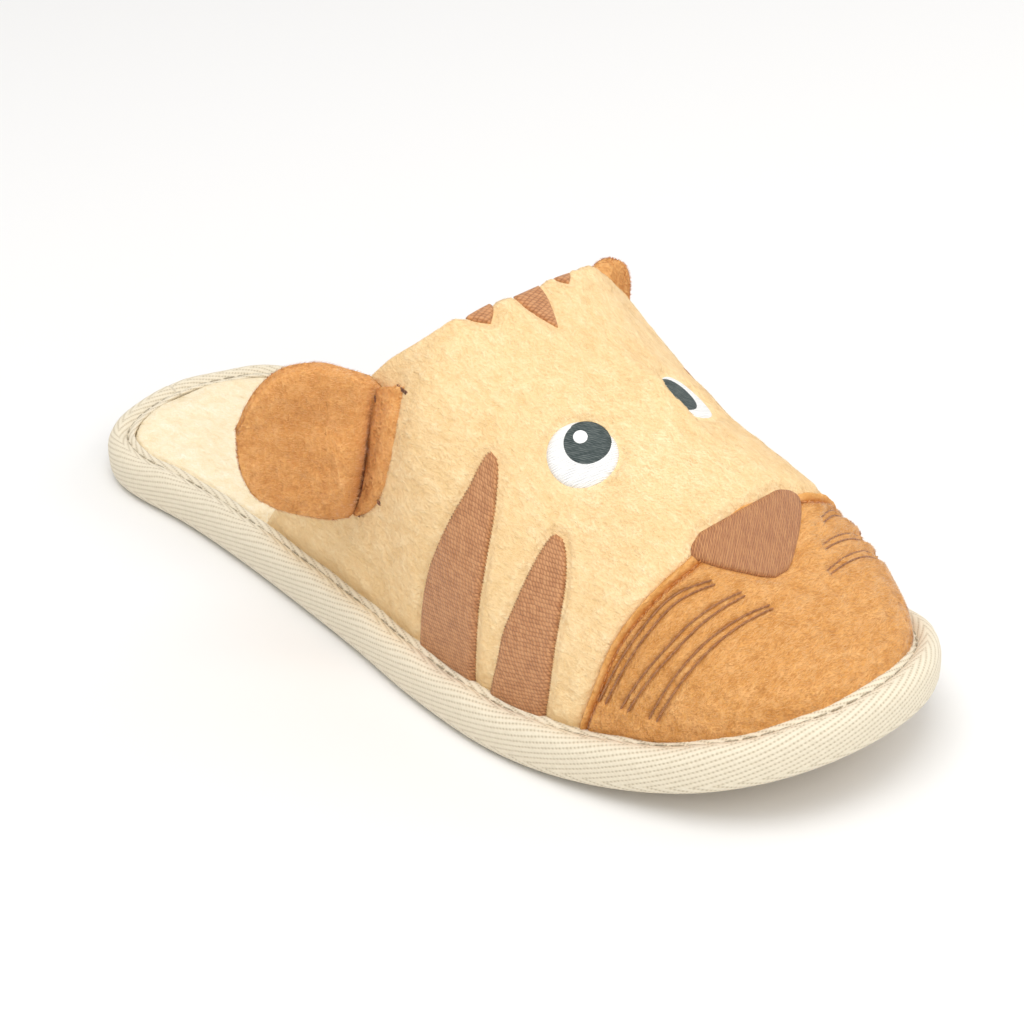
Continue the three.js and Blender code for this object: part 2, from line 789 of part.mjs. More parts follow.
// Forehead stripes: three points that hang down from the collar's edge.
function foreheadStripe({ across, width, reach }) {
  const frame = motifFrame(1, Math.PI / 2);
  const spans = 2;
  const collarInset = 0.6;
  const middle = faceShift + across;
  const base = underMotif(frame, middle, 0);
  const foot = collarY(base.angle) - collarTopY - collarInset;
  const places = foreheadRows.map(({ back, half }) => {
    const row = [];
    for (let i = 0; i <= spans; i += 1) {
      const x = middle + half * width * (i / spans - 0.5);
      row.push(underMotif(frame, x, foot - reach * (1 - back)));
    }
    return row;
  });
  return patchSolid(places, motifLift, motifThickness);
}
for (const stripe of foreheadStripes) {
  addPart(stripe.name, foreheadStripe(stripe), brownThread);
}

// An ear on the right side; the left one is mirrored afterwards.
function ear({ reach, sweep, rise }) {
  const tabFront = smoothCurve(tabRows, 'up', 'front');
  const tabFold = smoothCurve(tabRows, 'up', 'fold');
  const spans = 8;
  const ups = Array.from({ length: spans + 1 }, (_, j) => j / spans);
  const angleAt = (up) => {
    return THREE.MathUtils.degToRad(THREE.MathUtils.lerp(tabBottomAngle, tabTopAngle, up));
  };
  const onTab = (up, share, height) => {
    const along = THREE.MathUtils.lerp(tabFront(up), tabFold(up), share);
    return onVamp(yAt(along), angleAt(up), height);
  };
  const foldMiddle = clearance + tabThickness / 2;
  const nearFold = 0.92;
  const frontEdge = 0.6;
  const bottom = onTab(0, 1, foldMiddle);
  const top = onTab(1, 1, foldMiddle);
  const up = top.clone().sub(bottom);
  const foldLength = up.length();
  up.normalize();
  const sweepAngle = THREE.MathUtils.degToRad(sweep);
  const riseAngle = THREE.MathUtils.degToRad(rise);
  const outward = new THREE.Vector3(
    -Math.cos(sweepAngle) * Math.cos(riseAngle),
    Math.sin(sweepAngle) * Math.cos(riseAngle),
    Math.sin(riseAngle),
  );
  const facing = up.clone().cross(outward).normalize();
  const outer = [];
  const inner = [];
  for (const share of [0, 0.5, nearFold]) {
    const height = clearance + tabThickness * (share === 0 ? frontEdge : 1);
    outer.push(ups.map((v) => onTab(v, share, height)));
    inner.push(ups.map((v) => onTab(v, share, clearance)));
  }
  for (const row of earRows) {
    const fill = Math.sin(Math.PI * Math.min(row.reach, 0.98)) ** 0.5;
    outer.push([]);
    inner.push([]);
    for (const v of ups) {
      const along = THREE.MathUtils.lerp(row.bottom, row.top, v) * foldLength;
      const point = bottom.clone().addScaledVector(up, along);
      point.addScaledVector(outward, row.reach * reach);
      const round = Math.sqrt(Math.max(1 - (2 * v - 1) ** 4, 0));
      const half = (earEdge + (earPadding - earEdge) * fill * round) / 2;
      outer.at(-1).push(point.clone().addScaledVector(facing, half));
      inner.at(-1).push(point.clone().addScaledVector(facing, -half));
    }
  }
  return shellSolid(outer, inner);
}
for (const row of ears) {
  const geometry = ear(row);
  addPart(row.name, row.side > 0 ? geometry : mirrored(geometry), orangePlush);
}

export default slipper;
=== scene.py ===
import math
import bmesh
import bpy
import numpy as np
from mathutils import Matrix, Vector, kdtree, noise


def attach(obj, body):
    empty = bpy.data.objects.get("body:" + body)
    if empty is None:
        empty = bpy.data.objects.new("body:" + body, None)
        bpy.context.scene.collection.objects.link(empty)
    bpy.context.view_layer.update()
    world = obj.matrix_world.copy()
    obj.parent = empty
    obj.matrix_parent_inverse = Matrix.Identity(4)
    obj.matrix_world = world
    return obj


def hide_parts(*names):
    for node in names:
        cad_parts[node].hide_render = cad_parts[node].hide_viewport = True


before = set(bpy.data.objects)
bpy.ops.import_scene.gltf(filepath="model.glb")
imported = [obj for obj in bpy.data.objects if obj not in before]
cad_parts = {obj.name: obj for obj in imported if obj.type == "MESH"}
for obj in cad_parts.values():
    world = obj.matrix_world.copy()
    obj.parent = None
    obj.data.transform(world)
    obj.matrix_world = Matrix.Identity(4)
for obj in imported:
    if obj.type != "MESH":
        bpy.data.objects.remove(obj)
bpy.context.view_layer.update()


# Studio: a pale floor, a wide soft lamp overhead, weaker ones at the toe and far side. The
# camera has the photo's angle and distance. This section is in metres, all others in mm.
scene = bpy.context.scene
scene.view_settings.view_transform = "Standard"
MM = 0.001
AIM_HEIGHT, CAMERA_DISTANCE, FLOOR_REACH = 0.020, 0.5837, 6
turn, tilt, roll = math.radians(-43.11), math.radians(29.79), math.radians(-1.98)
back = Vector((math.sin(turn) * math.cos(tilt), -math.cos(turn) * math.cos(tilt), math.sin(tilt)))
level = Vector((math.cos(turn), math.sin(turn), 0))
upright = back.cross(level)
right = level * math.cos(roll) + upright * math.sin(roll)
top = upright * math.cos(roll) - level * math.sin(roll)
camera = bpy.data.objects.new("camera", bpy.data.cameras.new("camera"))
camera.matrix_world = Matrix.Translation(Vector((0, 0, AIM_HEIGHT)) + back * CAMERA_DISTANCE) @ Matrix(
    (right, top, back)).transposed().to_4x4()
camera.data.lens = 92.91
camera.data.shift_x = 0.0279
camera.data.shift_y = -0.00525
camera.data.clip_start = 0.01
scene.collection.objects.link(camera)
scene.camera = camera


def wire(node, inputs):
    """Fills a node's inputs: a socket or a formula is linked in, any other value is set."""
    for label, value in inputs.items():
        value = getattr(value, "socket", value)
        if isinstance(value, bpy.types.NodeSocket):
            node.id_data.links.new(value, node.inputs[label])
        else:
            node.inputs[label].default_value = value
    return node


def make(tree, kind, inputs=None, **settings):
    """A new node with its settings and inputs."""
    node = tree.nodes.new(kind)
    for label, value in settings.items():
        setattr(node, label, value)
    return wire(node, inputs or {})


world = bpy.data.worlds.new("soft_room")
world.use_nodes = True
wire(world.node_tree.nodes["Background"], {"Color": (1.0, 0.985, 0.965, 1), "Strength": 0.66})
scene.world = world


def soft_lamp(name, place, aim_height, size, power, color=(1, 1, 1)):
    """A square lamp that looks at a height above the middle of the floor."""
    lamp = bpy.data.objects.new(name, bpy.data.lights.new(name, "AREA"))
    lamp.data.size = size
    lamp.data.energy = power
    lamp.data.color = color
    lamp.location = place
    aim = Vector((0, 0, aim_height)) - Vector(place)
    lamp.rotation_euler = aim.to_track_quat("-Z", "Y").to_euler()
    scene.collection.objects.link(lamp)


soft_lamp("overhead_lamp", (-0.3, -0.15, 1.15), 0.02, 0.9, 7.0)
soft_lamp("toe_lamp", (-0.35, -0.95, 0.7), 0.03, 0.7, 3.2, (1, 0.985, 0.96))
soft_lamp("far_lamp", (0.9, -0.35, 0.6), 0.04, 0.7, 2.0)


def shader_of(material):
    return material.node_tree.nodes["Principled BSDF"]


def plain_material(name, color, roughness):
    material = bpy.data.materials.new(name)
    material.use_nodes = True
    wire(shader_of(material), {"Base Color": (*color, 1), "Roughness": roughness})
    return material


floor_mesh = bpy.data.meshes.new("floor")
floor_mesh.from_pydata([(-FLOOR_REACH, -FLOOR_REACH, 0), (FLOOR_REACH, -FLOOR_REACH, 0),
                        (FLOOR_REACH, FLOOR_REACH, 0), (-FLOOR_REACH, FLOOR_REACH, 0)], [], [(0, 1, 2, 3)])
floor = bpy.data.objects.new("floor", floor_mesh)
floor_mesh.materials.append(plain_material("studio_floor", (0.88, 0.88, 0.88), 0.9))
scene.collection.objects.link(floor)

# Edge tape: cream herringbone twill, folded round the sole's edge and sewn down close
# to its inner edge, so that it stands up in a soft ridge outside the seam.
LENGTH, BALL_WIDTH, HEEL_WIDTH = 230, 93, 62.8
outline_rows = [  # along, share of the heel's half width, share of the ball's
    (0, 0, 0), (0.02, 0.586, 0), (0.05, 0.854, 0), (0.1, 0.99, 0), (0.2, 1, 0),
    (0.3, 0.72, 0.234), (0.4, 0.4, 0.517), (0.5, 0.15, 0.763), (0.6, 0, 0.957),
    (0.7, 0, 1), (0.8, 0, 0.948), (0.9, 0, 0.789), (0.95, 0, 0.613), (0.98, 0, 0.413),
    (1, 0, 0),
]


def through(rows, column, warp=None):
    """A smooth curve through one column of a table, read by its first column."""
    xs = np.array([row[0] for row in rows], float)
    xs = warp(xs) if warp else xs
    ys = np.array([row[column] for row in rows], float)
    before = np.maximum(np.arange(len(xs)) - 1, 0)
    after = np.minimum(np.arange(len(xs)) + 1, len(xs) - 1)
    slope = (ys[after] - ys[before]) / (xs[after] - xs[before])

    def curve(value):
        value = np.asarray(value, float)
        value = np.clip(warp(value) if warp else value, xs[0], xs[-1])
        i = np.clip(np.searchsorted(xs, value) - 1, 0, len(xs) - 2)
        step = xs[i + 1] - xs[i]
        t = (value - xs[i]) / step
        rise = (1 + 2 * t) * (1 - t) ** 2 * ys[i] + t * t * (3 - 2 * t) * ys[i + 1]
        return rise + step * (t * (1 - t) ** 2 * slope[i] + t * t * (t - 1) * slope[i + 1])
    return curve


def round_ends(share):
    return np.arccos(np.clip(1 - 2 * share, -1, 1)) / math.pi


heel_part = through(outline_rows, 1, round_ends)
ball_part = through(outline_rows, 2, round_ends)


def edge_at(step):
    """The sole's edge: step runs from the heel at 0 to the toe at 1."""
    along = (1 - np.cos(np.pi * step)) / 2
    half = (heel_part(along) * HEEL_WIDTH + ball_part(along) * BALL_WIDTH) / 2
    return np.stack([half, LENGTH / 2 - along * LENGTH], -1)


def edge_normal(step):
    way = edge_at(np.minimum(step + 1e-4, 1)) - edge_at(np.maximum(step - 1e-4, 0))
    way /= np.linalg.norm(way, axis=-1, keepdims=True)
    way[step < 1e-4] = (1, 0)
    way[step > 1 - 1e-4] = (-1, 0)
    return np.stack([-way[..., 1], way[..., 0]], -1)


def spring(y):
    """How far the toe spring lifts the shoe at y."""
    along = (LENGTH / 2 - np.asarray(y, float)) / LENGTH
    return 13 * np.clip((along - 0.7) / 0.3, 0, 1.2) ** 2


def smooth(value, low, high):
    t = np.clip((np.asarray(value, float) - low) / (high - low), 0, 1)
    return t * t * (3 - 2 * t)


def ripple(points, size, seed):
    """Soft random waves from -1 to 1 with bumps of that size."""
    return np.array([noise.noise(Vector(p) / size + Vector((seed, 0, 0))) for p in points])


def mesh_piece(name, points, faces, material, uv=None):
    mesh = bpy.data.meshes.new(name)
    mesh.from_pydata((np.asarray(points) * MM).tolist(), [], [tuple(f) for f in faces])
    if uv is not None:
        layer = mesh.uv_layers.new(name="cloth")
        corners = np.empty(len(mesh.loops), int)
        mesh.loops.foreach_get("vertex_index", corners)
        layer.data.foreach_set("uv", (np.asarray(uv)[corners] * MM).astype(np.float32).ravel())
    mesh.polygons.foreach_set("use_smooth", [True] * len(mesh.polygons))
    mesh.materials.append(material)
    piece = bpy.data.objects.new(name, mesh)
    scene.collection.objects.link(piece)
    return piece


def shell_faces(rows, columns):
    """Faces of a closed shell: an outer grid, an inner grid and the strip round their edge."""
    at = np.arange(rows * columns).reshape(rows, columns)
    grid = np.stack([at[:-1, :-1], at[:-1, 1:], at[1:, 1:], at[1:, :-1]], -1).reshape(-1, 4)
    sides = np.stack([at[:-1, [0, -1]], at[1:, [0, -1]]], -1).reshape(-1, 2)
    ends = np.stack([at[[0, -1], :-1].T, at[[0, -1], 1:].T], -1).reshape(-1, 2)
    rim = np.concatenate([sides, ends])
    return np.concatenate([grid, grid[:, ::-1] + at.size, np.hstack([rim, rim[:, ::-1] + at.size])])


def shell(name, outer, inner, material, uv=None):
    """A closed piece from its outer and inner grids of points."""
    outer, inner = np.asarray(outer), np.asarray(inner)
    points = np.concatenate([outer.reshape(-1, 3), inner.reshape(-1, 3)])
    uv = uv if uv is None else np.concatenate([uv, uv])
    return mesh_piece(name, points, shell_faces(*outer.shape[:2]), material, uv)


def tidy_normals(piece, weld=True):
    work = bmesh.new()
    work.from_mesh(piece.data)
    if weld:
        bmesh.ops.remove_doubles(work, verts=work.verts, dist=2e-6)
    bmesh.ops.recalc_face_normals(work, faces=work.faces)
    work.to_mesh(piece.data)
    work.free()


def group(name, inputs, outputs, kind="ShaderNodeTree"):
    """A shared node tree; each socket is a label, a kind and perhaps its usual value."""
    tree = bpy.data.node_groups.new(name, kind)
    for way, sockets in (("INPUT", inputs), ("OUTPUT", outputs)):
        for label, holds, *value in sockets:
            socket = tree.interface.new_socket(label, in_out=way, socket_type="NodeSocket" + holds)
            if value:
                socket.default_value = value[0]
    return tree, make(tree, "NodeGroupInput").outputs, make(tree, "NodeGroupOutput")


class Formula:
    """A socket to reckon with: each sum, product or other step adds one math node."""

    def __init__(self, socket):
        self.socket = socket

    def step(self, operation, *others):
        values = dict(enumerate((self, *others)))
        return Formula(make(self.socket.id_data, "ShaderNodeMath", values, operation=operation).outputs[0])

    __add__ = lambda self, other: self.step("ADD", other)
    __mul__ = lambda self, other: self.step("MULTIPLY", other)
    __sub__ = lambda self, other: self.step("SUBTRACT", other)
    __rsub__ = lambda self, other: self.step("MULTIPLY_ADD", -1, other)
    __truediv__ = lambda self, other: self.step("DIVIDE", other)


def noise_in(tree, where, scale, **more):
    """Soft noise over a coordinate, with more of its inputs where they matter."""
    return make(tree, "ShaderNodeTexNoise", {"Vector": where, "Scale": scale, **more}).outputs[0]


def cloth_mm(tree, uv):
    """The two lengths of a cloth coordinate, in millimetres."""
    split = make(tree, "ShaderNodeSeparateXYZ", {0: uv})
    return Formula(split.outputs[0]) * 1000, Formula(split.outputs[1]) * 1000


def twill_group():
    """Herringbone: slanted ribs that turn over at every band across the tape."""
    tree, given, out = group("herringbone", [
        ("UV", "Vector"), ("Rib", "Float", 1.0), ("Band", "Float", 4.0)],
        [("Height", "Float"), ("Tone", "Float")])
    u, v = cloth_mm(tree, given["UV"])
    fold = (v + 4.2).step("PINGPONG", given["Band"])
    rib = ((u * 0.26 + fold) / given["Rib"]).step("PINGPONG", 0.5)
    yarn = ((u - fold * 0.6) / 0.95).step("PINGPONG", 0.5)
    groove = (1 - rib * 3.4).step("MAXIMUM", 0)
    gap = (yarn * yarn * 5.5).step("MINIMUM", 1)
    ribs = 1 - groove * (gap * 0.7 + 0.3)
    fuzz = Formula(noise_in(tree, given["UV"], 900))
    # The tone is darker in the grooves between ribs: painted shade. The fuzz is tone at random.
    wire(out, {"Height": ribs + yarn * -0.4, "Tone": ribs * 0.7 + fuzz * 0.35})
    return tree


herringbone = twill_group()


def place_group(material, tree, coordinate, **values):
    """Puts a shared effect into a material, laid over one of its coordinates."""
    where = make(material.node_tree, "ShaderNodeTexCoord").outputs[coordinate]
    return make(material.node_tree, "ShaderNodeGroup", node_tree=tree, inputs={0: where, **values})


def ramp(value, stops):
    """Colours over a value; each stop is a place from 0 to 1 and a colour."""
    value = getattr(value, "socket", value)
    node = make(value.id_data, "ShaderNodeValToRGB", {0: value})
    while len(node.color_ramp.elements) < len(stops):
        node.color_ramp.elements.new(0.5)
    for element, (place, color) in zip(node.color_ramp.elements, stops):
        element.position = place
        element.color = (*color, 1)
    return node.outputs[0]


def bump(height, strength, distance):
    inputs = {"Height": height, "Strength": strength, "Distance": distance}
    return make(height.id_data, "ShaderNodeBump", inputs).outputs[0]


tape_cloth = plain_material("twill_tape_cloth", (0.8, 0.72, 0.57), 0.85)
weave = place_group(tape_cloth, herringbone, "UV", Rib=1.2, Band=9.5)
tape_tones = [(0.2, (0.54, 0.46, 0.32)), (0.6, (0.72, 0.63, 0.47)), (0.9, (0.83, 0.75, 0.59))]
wire(shader_of(tape_cloth), {
    "Base Color": ramp(weave.outputs["Tone"], tape_tones),
    "Normal": bump(weave.outputs["Height"], 0.55, 0.0003), "Sheen Weight": 0.15})

section = np.array([  # inset from the sole's edge, height
    (6.75, 9.2), (6.8, 9.85), (6.6, 10.15), (6.15, 10.2), (5.6, 10.05), (5.15, 9.7), (4.95, 9.55),
    (4.75, 9.7), (4.3, 10.2), (3.4, 10.62), (2.5, 10.72), (1.6, 10.5), (0.85, 9.9), (0.3, 8.9),
    (0.02, 7.6), (-0.05, 6.0), (0.0, 4.4), (0.12, 2.9), (0.45, 1.7), (1.1, 0.95), (2.2, 0.7),
    (3.6, 0.7), (5.0, 0.7), (5.0, 2.2), (1.5, 2.2), (1.5, 8.5),
])


def lengths_along(points):
    return np.concatenate([[0], np.cumsum(np.linalg.norm(np.diff(points, axis=0), axis=1))])


def round_the_sole(count):
    """Steps once round the sole's edge, each with its side of the shoe."""
    turns = np.arange(count) * 2 / count
    return np.where(turns <= 1, turns, 2 - turns), np.where(turns <= 1, 1.0, -1.0)


TAPE_STEPS, SEAM_INSET, SEAM_HEIGHT = 620, 4.95, 9.72
near, side = round_the_sole(TAPE_STEPS)
edge, normal = edge_at(near), edge_normal(near)
path = np.stack([side * edge[:, 0], edge[:, 1]], -1)
path_length, section_length = lengths_along(path), lengths_along(section)
free = smooth(section[:, 1], 8.6, 9.6)
tape_points, tape_uv = [], []
for i, (x, y) in enumerate(path):
    pull = 0.16 * math.sin(path_length[i] / 3.1) + 0.22 * noise.noise(Vector((x, y, 5)) / 9)
    wander = 0.3 * noise.noise(Vector((x, y, 31)) / 14)
    inset = section[:, 0] + wander * free
    tape_points.append(np.stack([side[i] * (edge[i, 0] - normal[i, 0] * inset), y - normal[i, 1] * inset,
                                 section[:, 1] + pull * free + spring(y)], -1))
    tape_uv.append(np.stack([np.full(len(section), path_length[i]), section_length], -1))
i, j = np.meshgrid(np.arange(TAPE_STEPS), np.arange(len(section)), indexing="ij")
here, after, k = i * len(section), (i + 1) % TAPE_STEPS * len(section), (j + 1) % len(section)
tape_faces = np.stack([here + j, after + j, after + k, here + k], -1).reshape(-1, 4)
edge_tape = mesh_piece("edge_tape", np.concatenate(tape_points), tape_faces, tape_cloth,
                       np.concatenate(tape_uv))
tidy_normals(edge_tape)
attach(edge_tape, "root")
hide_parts("edge_binding")


# Stitches: lock stitches of cotton thread, each a rounded bead of thread that lies along
# its seam. One node tree lays them all; sew() gives it a seam and keeps plain meshes.
def as_result(tree, copies, material, out):
    """Ends a tree: its copies become real geometry of one material."""
    real = make(tree, "GeometryNodeRealizeInstances", {0: copies.outputs[0]})
    paint = make(tree, "GeometryNodeSetMaterial", {"Geometry": real.outputs[0], "Material": material})
    wire(out, {0: paint.outputs[0]})


def stitch_tree():
    tree, given, out = group("running_stitches", [
        ("Seam", "Geometry"), ("Spacing", "Float", 0.003), ("Length", "Float", 0.002),
        ("Thickness", "Float", 0.0005), ("Thread", "Material")],
        [("Stitches", "Geometry")], "GeometryNodeTree")
    curve = make(tree, "GeometryNodeMeshToCurve", {0: given["Seam"]})
    dots = make(tree, "GeometryNodeCurveToPoints", mode="LENGTH", inputs={
        "Curve": curve.outputs[0], "Length": given["Spacing"]})
    aim = make(tree, "FunctionNodeAlignRotationToVector", {"Vector": dots.outputs["Tangent"]}, axis="X")
    thick = given["Thickness"]
    size = make(tree, "ShaderNodeCombineXYZ", {0: given["Length"], 1: thick, 2: thick})
    bead = make(tree, "GeometryNodeMeshUVSphere", {"Segments": 6, "Rings": 5, "Radius": 0.5})
    beads = make(tree, "GeometryNodeInstanceOnPoints", {
        "Points": dots.outputs["Points"], "Instance": bead.outputs["Mesh"],
        "Rotation": aim.outputs[0], "Scale": size.outputs[0]})
    as_result(tree, beads, given["Thread"], out)
    return tree


running_stitches = stitch_tree()


def run_tree(source, tree, settings, name):
    """Applies a node tree to a piece and keeps its result as a plain mesh."""
    modifier = source.modifiers.new("tree", "NODES")
    modifier.node_group = tree
    sockets = {item.name: item.identifier for item in tree.interface.items_tree if item.in_out == "INPUT"}
    for label, value in settings.items():
        modifier[sockets[label]] = value
    graph = bpy.context.evaluated_depsgraph_get()
    graph.update()
    mesh = bpy.data.meshes.new_from_object(source.evaluated_get(graph), depsgraph=graph)
    mesh.name = name
    result = bpy.data.objects.new(name, mesh)
    scene.collection.objects.link(result)
    source.modifiers.remove(modifier)
    return result


def sew(name, seams, spacing, length, thickness, thread):
    """Stitches along seams, each a row of points in millimetres."""
    points, edges = [], []
    for seam in seams:
        first = len(points)
        points.extend(np.asarray(seam) * MM)
        edges.extend((first + i, first + i + 1) for i in range(len(seam) - 1))
    mesh = bpy.data.meshes.new(name + "_path")
    mesh.from_pydata([tuple(p) for p in points], edges, [])
    source = bpy.data.objects.new(name + "_path", mesh)
    scene.collection.objects.link(source)
    piece = run_tree(source, running_stitches, {
        "Spacing": spacing * MM, "Length": length * MM, "Thickness": thickness * MM, "Thread": thread}, name)
    bpy.data.objects.remove(source)
    piece.data.polygons.foreach_set("use_smooth", [True] * len(piece.data.polygons))
    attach(piece, "root")
    return piece


def thread_material(name, dark, light, roughness=0.6):
    """Twisted cotton: fine strands in two tones."""
    material = plain_material(name, light, roughness)
    where = make(material.node_tree, "ShaderNodeTexCoord").outputs["Object"]
    strands = noise_in(material.node_tree, where, 1500, Detail=3)
    wire(shader_of(material), {
        "Base Color": ramp(strands, [(0.35, dark), (0.65, light)]),
        "Normal": bump(strands, 0.3, 0.0001), "Sheen Weight": 0.2})
    return material


tape_thread = thread_material("tape_thread", (0.3, 0.25, 0.17), (0.56, 0.49, 0.36), 0.7)


def ring(inset, height):
    """A line once round the sole, set in from its edge."""
    step, sign = round_the_sole(900)
    place = edge_at(step)
    xy = place - edge_normal(step) * inset
    return np.stack([sign * xy[:, 0], xy[:, 1], height + spring(place[:, 1])], -1)


tape_seam = sew("tape_stitches", [ring(SEAM_INSET, SEAM_HEIGHT)], spacing=3.6, length=3.0, thickness=0.4,
                thread=tape_thread)


# Soles: a matte grip sole with small rubber dots below, its edge inside the tape, and a
# foam board, which keeps the shape of its solid.
def inset_edge(inset):
    """The sole's edge set in: its heel, its toe and its half width at y."""
    step = np.linspace(0, 1, 400)
    place = edge_at(step) - edge_normal(step) * inset
    heel, toe = LENGTH / 2 - inset, -LENGTH / 2 + inset
    share = round_ends((heel - place[:, 1]) / (heel - toe))
    half = np.maximum(place[:, 0], 0)
    share[0], half[0], share[-1], half[-1] = 0, 0, 1, 0
    return heel, toe, lambda y: np.interp(round_ends((heel - y) / (heel - toe)), share, half)


def end_to_end(heel, toe, count):
    """Places from heel to toe, closer together at both ends."""
    return heel + (toe - heel) * (1 - np.cos(np.pi * np.linspace(0, 1, count))) / 2


TAPE_TUCK, SOLE_TOP, SOLE_FOOT = 5.0, 2.2, 0.45
sole_cloth = plain_material("grip_sole_cloth", (0.6, 0.5, 0.36), 0.8)
sole_weave = place_group(sole_cloth, herringbone, "Object", Rib=1.6, Band=500)
wire(shader_of(sole_cloth), {
    "Base Color": ramp(sole_weave.outputs["Tone"], [(0.2, (0.46, 0.36, 0.23)), (0.9, (0.66, 0.55, 0.39))]),
    "Normal": bump(sole_weave.outputs["Height"], 0.4, 0.0003)})
heel, toe, half_at = inset_edge(TAPE_TUCK + 0.3)
rows, columns = 90, 24
sole_y = end_to_end(heel, toe, rows)[:, None]
sole_x = np.linspace(-1, 1, columns) * half_at(sole_y)
sole_under, sole_over = (np.stack(np.broadcast_arrays(sole_x, sole_y, height + spring(sole_y)), -1)
                         for height in (SOLE_FOOT, SOLE_TOP))
grip_sole = shell("grip_sole_layer", sole_under, sole_over, sole_cloth)
tidy_normals(grip_sole)
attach(grip_sole, "root")
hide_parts("outsole")

DOT_ROW, DOT_GAP, DOT_MARGIN = 4.4, 5.1, 2.5
rubber = plain_material("grip_dots", (0.55, 0.44, 0.29), 0.55)
grain = make(rubber.node_tree, "ShaderNodeTexNoise", {"Scale": 1500}).outputs[0]
wire(shader_of(rubber), {"Normal": bump(grain, 0.2, 0.0002)})


def dot_tree():
    """A low rubber stud at each place."""
    tree, given, out = group("grip_dots", [("Places", "Geometry"), ("Rubber", "Material")],
                             [("Dots", "Geometry")], "GeometryNodeTree")
    stud = make(tree, "GeometryNodeMeshCone", {
        "Vertices": 14, "Radius Top": 1.15 * MM, "Radius Bottom": 0.85 * MM, "Depth": 1.2 * MM})
    studs = make(tree, "GeometryNodeInstanceOnPoints", {
        "Points": given["Places"], "Instance": stud.outputs["Mesh"]})
    as_result(tree, studs, given["Rubber"], out)
    return tree


dot_places = []
for i, y in enumerate(np.arange(toe + 4, heel - 3, DOT_ROW)):
    for x in np.arange(-60, 60, DOT_GAP) + DOT_GAP / 2 * (i % 2):
        if abs(x) < half_at(y) - DOT_MARGIN:
            dot_places.append((x, y, float(spring(y))))
places = mesh_piece("dot_places", dot_places, [], rubber)
dots = run_tree(places, dot_tree(), {"Rubber": rubber}, "grip_dots")
bpy.data.objects.remove(places)
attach(dots, "root")

board = plain_material("foam_board", (0.84, 0.8, 0.72), 0.95)
board_where = make(board.node_tree, "ShaderNodeTexCoord").outputs["Object"]
foam = make(board.node_tree, "ShaderNodeTexVoronoi", {"Vector": board_where, "Scale": 900})
wire(shader_of(board), {"Normal": bump(foam.outputs["Distance"], 0.4, 0.0003)})
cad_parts["midsole"].data.materials.clear()
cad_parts["midsole"].data.materials.append(board)


# Footbed: short cream plush over foam, crowned, and tucked below the tape. Its pile is
# bump and colour for the cloth, with real brushed fibres standing on it.
def nap_group():
    """Brushed pile: fibres, tufts, clumps and broad strokes, stretched along the comb."""
    tree, given, out = group("brushed_pile", [
        ("Vector", "Vector"), ("Comb", "Vector", (1.0, 0.35, 0.6)), ("Clump", "Float", 1.0)],
        [("Height", "Float"), ("Tone", "Float"), ("Stroke", "Float")])
    combed = make(tree, "ShaderNodeVectorMath", {0: given["Vector"], 1: given["Comb"]}, operation="MULTIPLY")
    fibres, tufts, clumps, strokes = (
        Formula(noise_in(tree, combed.outputs[0], Formula(given["Clump"]) * scale,
                         Detail=detail, Roughness=rough, Distortion=0.4))
        for scale, detail, rough in ((2200, 2, 0.6), (900, 2, 0.6), (330, 3, 0.55), (45, 2, 0.5)))
    # The tone comes from the same noises as the height, so the pile is darker where it lies lower: painted
    # shade between tufts and clumps. The broad strokes are tone at random.
    wire(out, {"Height": fibres * 0.35 + (tufts * 0.7 + clumps),
               "Tone": fibres * 0.25 + (tufts * 0.35 + clumps * 0.4), "Stroke": strokes})
    return tree


brushed_pile = nap_group()


def plush(name, dark, middle, light, comb=(1.0, 0.45, 0.8), clump=1.0, relief=0.9):
    """Plush in three tones, with painted shade between its tufts and, where a piece marks it, painted shade
    in a deeper colour along seams and in creases.
    """
    material = plain_material(name, middle, 0.95)
    pile = place_group(material, brushed_pile, "Object", Comb=comb, Clump=clump)
    tone = Formula(pile.outputs["Tone"]) * 0.85 + Formula(pile.outputs["Stroke"]) * 0.15
    # Painted shade: a mark on each point mixes the plush toward a deep, darker colour in ditches, creases and
    # hollows.
    painted_shade = make(material.node_tree, "ShaderNodeAttribute", attribute_name="painted_shade")
    painted_shade_mix = make(material.node_tree, "ShaderNodeMix", data_type="RGBA", inputs={
        0: painted_shade.outputs["Fac"], 6: ramp(tone, [(0.38, dark), (0.5, middle), (0.62, light)]),
        7: (0.75 * dark[0], 0.5 * dark[1], 0.3 * dark[2], 1)})
    wire(shader_of(material), {
        "Base Color": painted_shade_mix.outputs[2], "Normal": bump(pile.outputs["Height"], relief, 0.0009),
        "Sheen Weight": 0.35, "Sheen Roughness": 0.45, "Sheen Tint": (*light, 1), "Specular IOR Level": 0.15})
    return material


def mark(piece, label, outer, inner=0):
    """Stores a value for each point of a shell, for its nap or its painted shade."""
    outer = np.asarray(outer, np.float32)
    values = np.concatenate([outer.ravel(), np.broadcast_to(np.float32(inner), outer.shape).ravel()])
    piece.data.attributes.new(label, "FLOAT", "POINT").data.foreach_set("value", values)


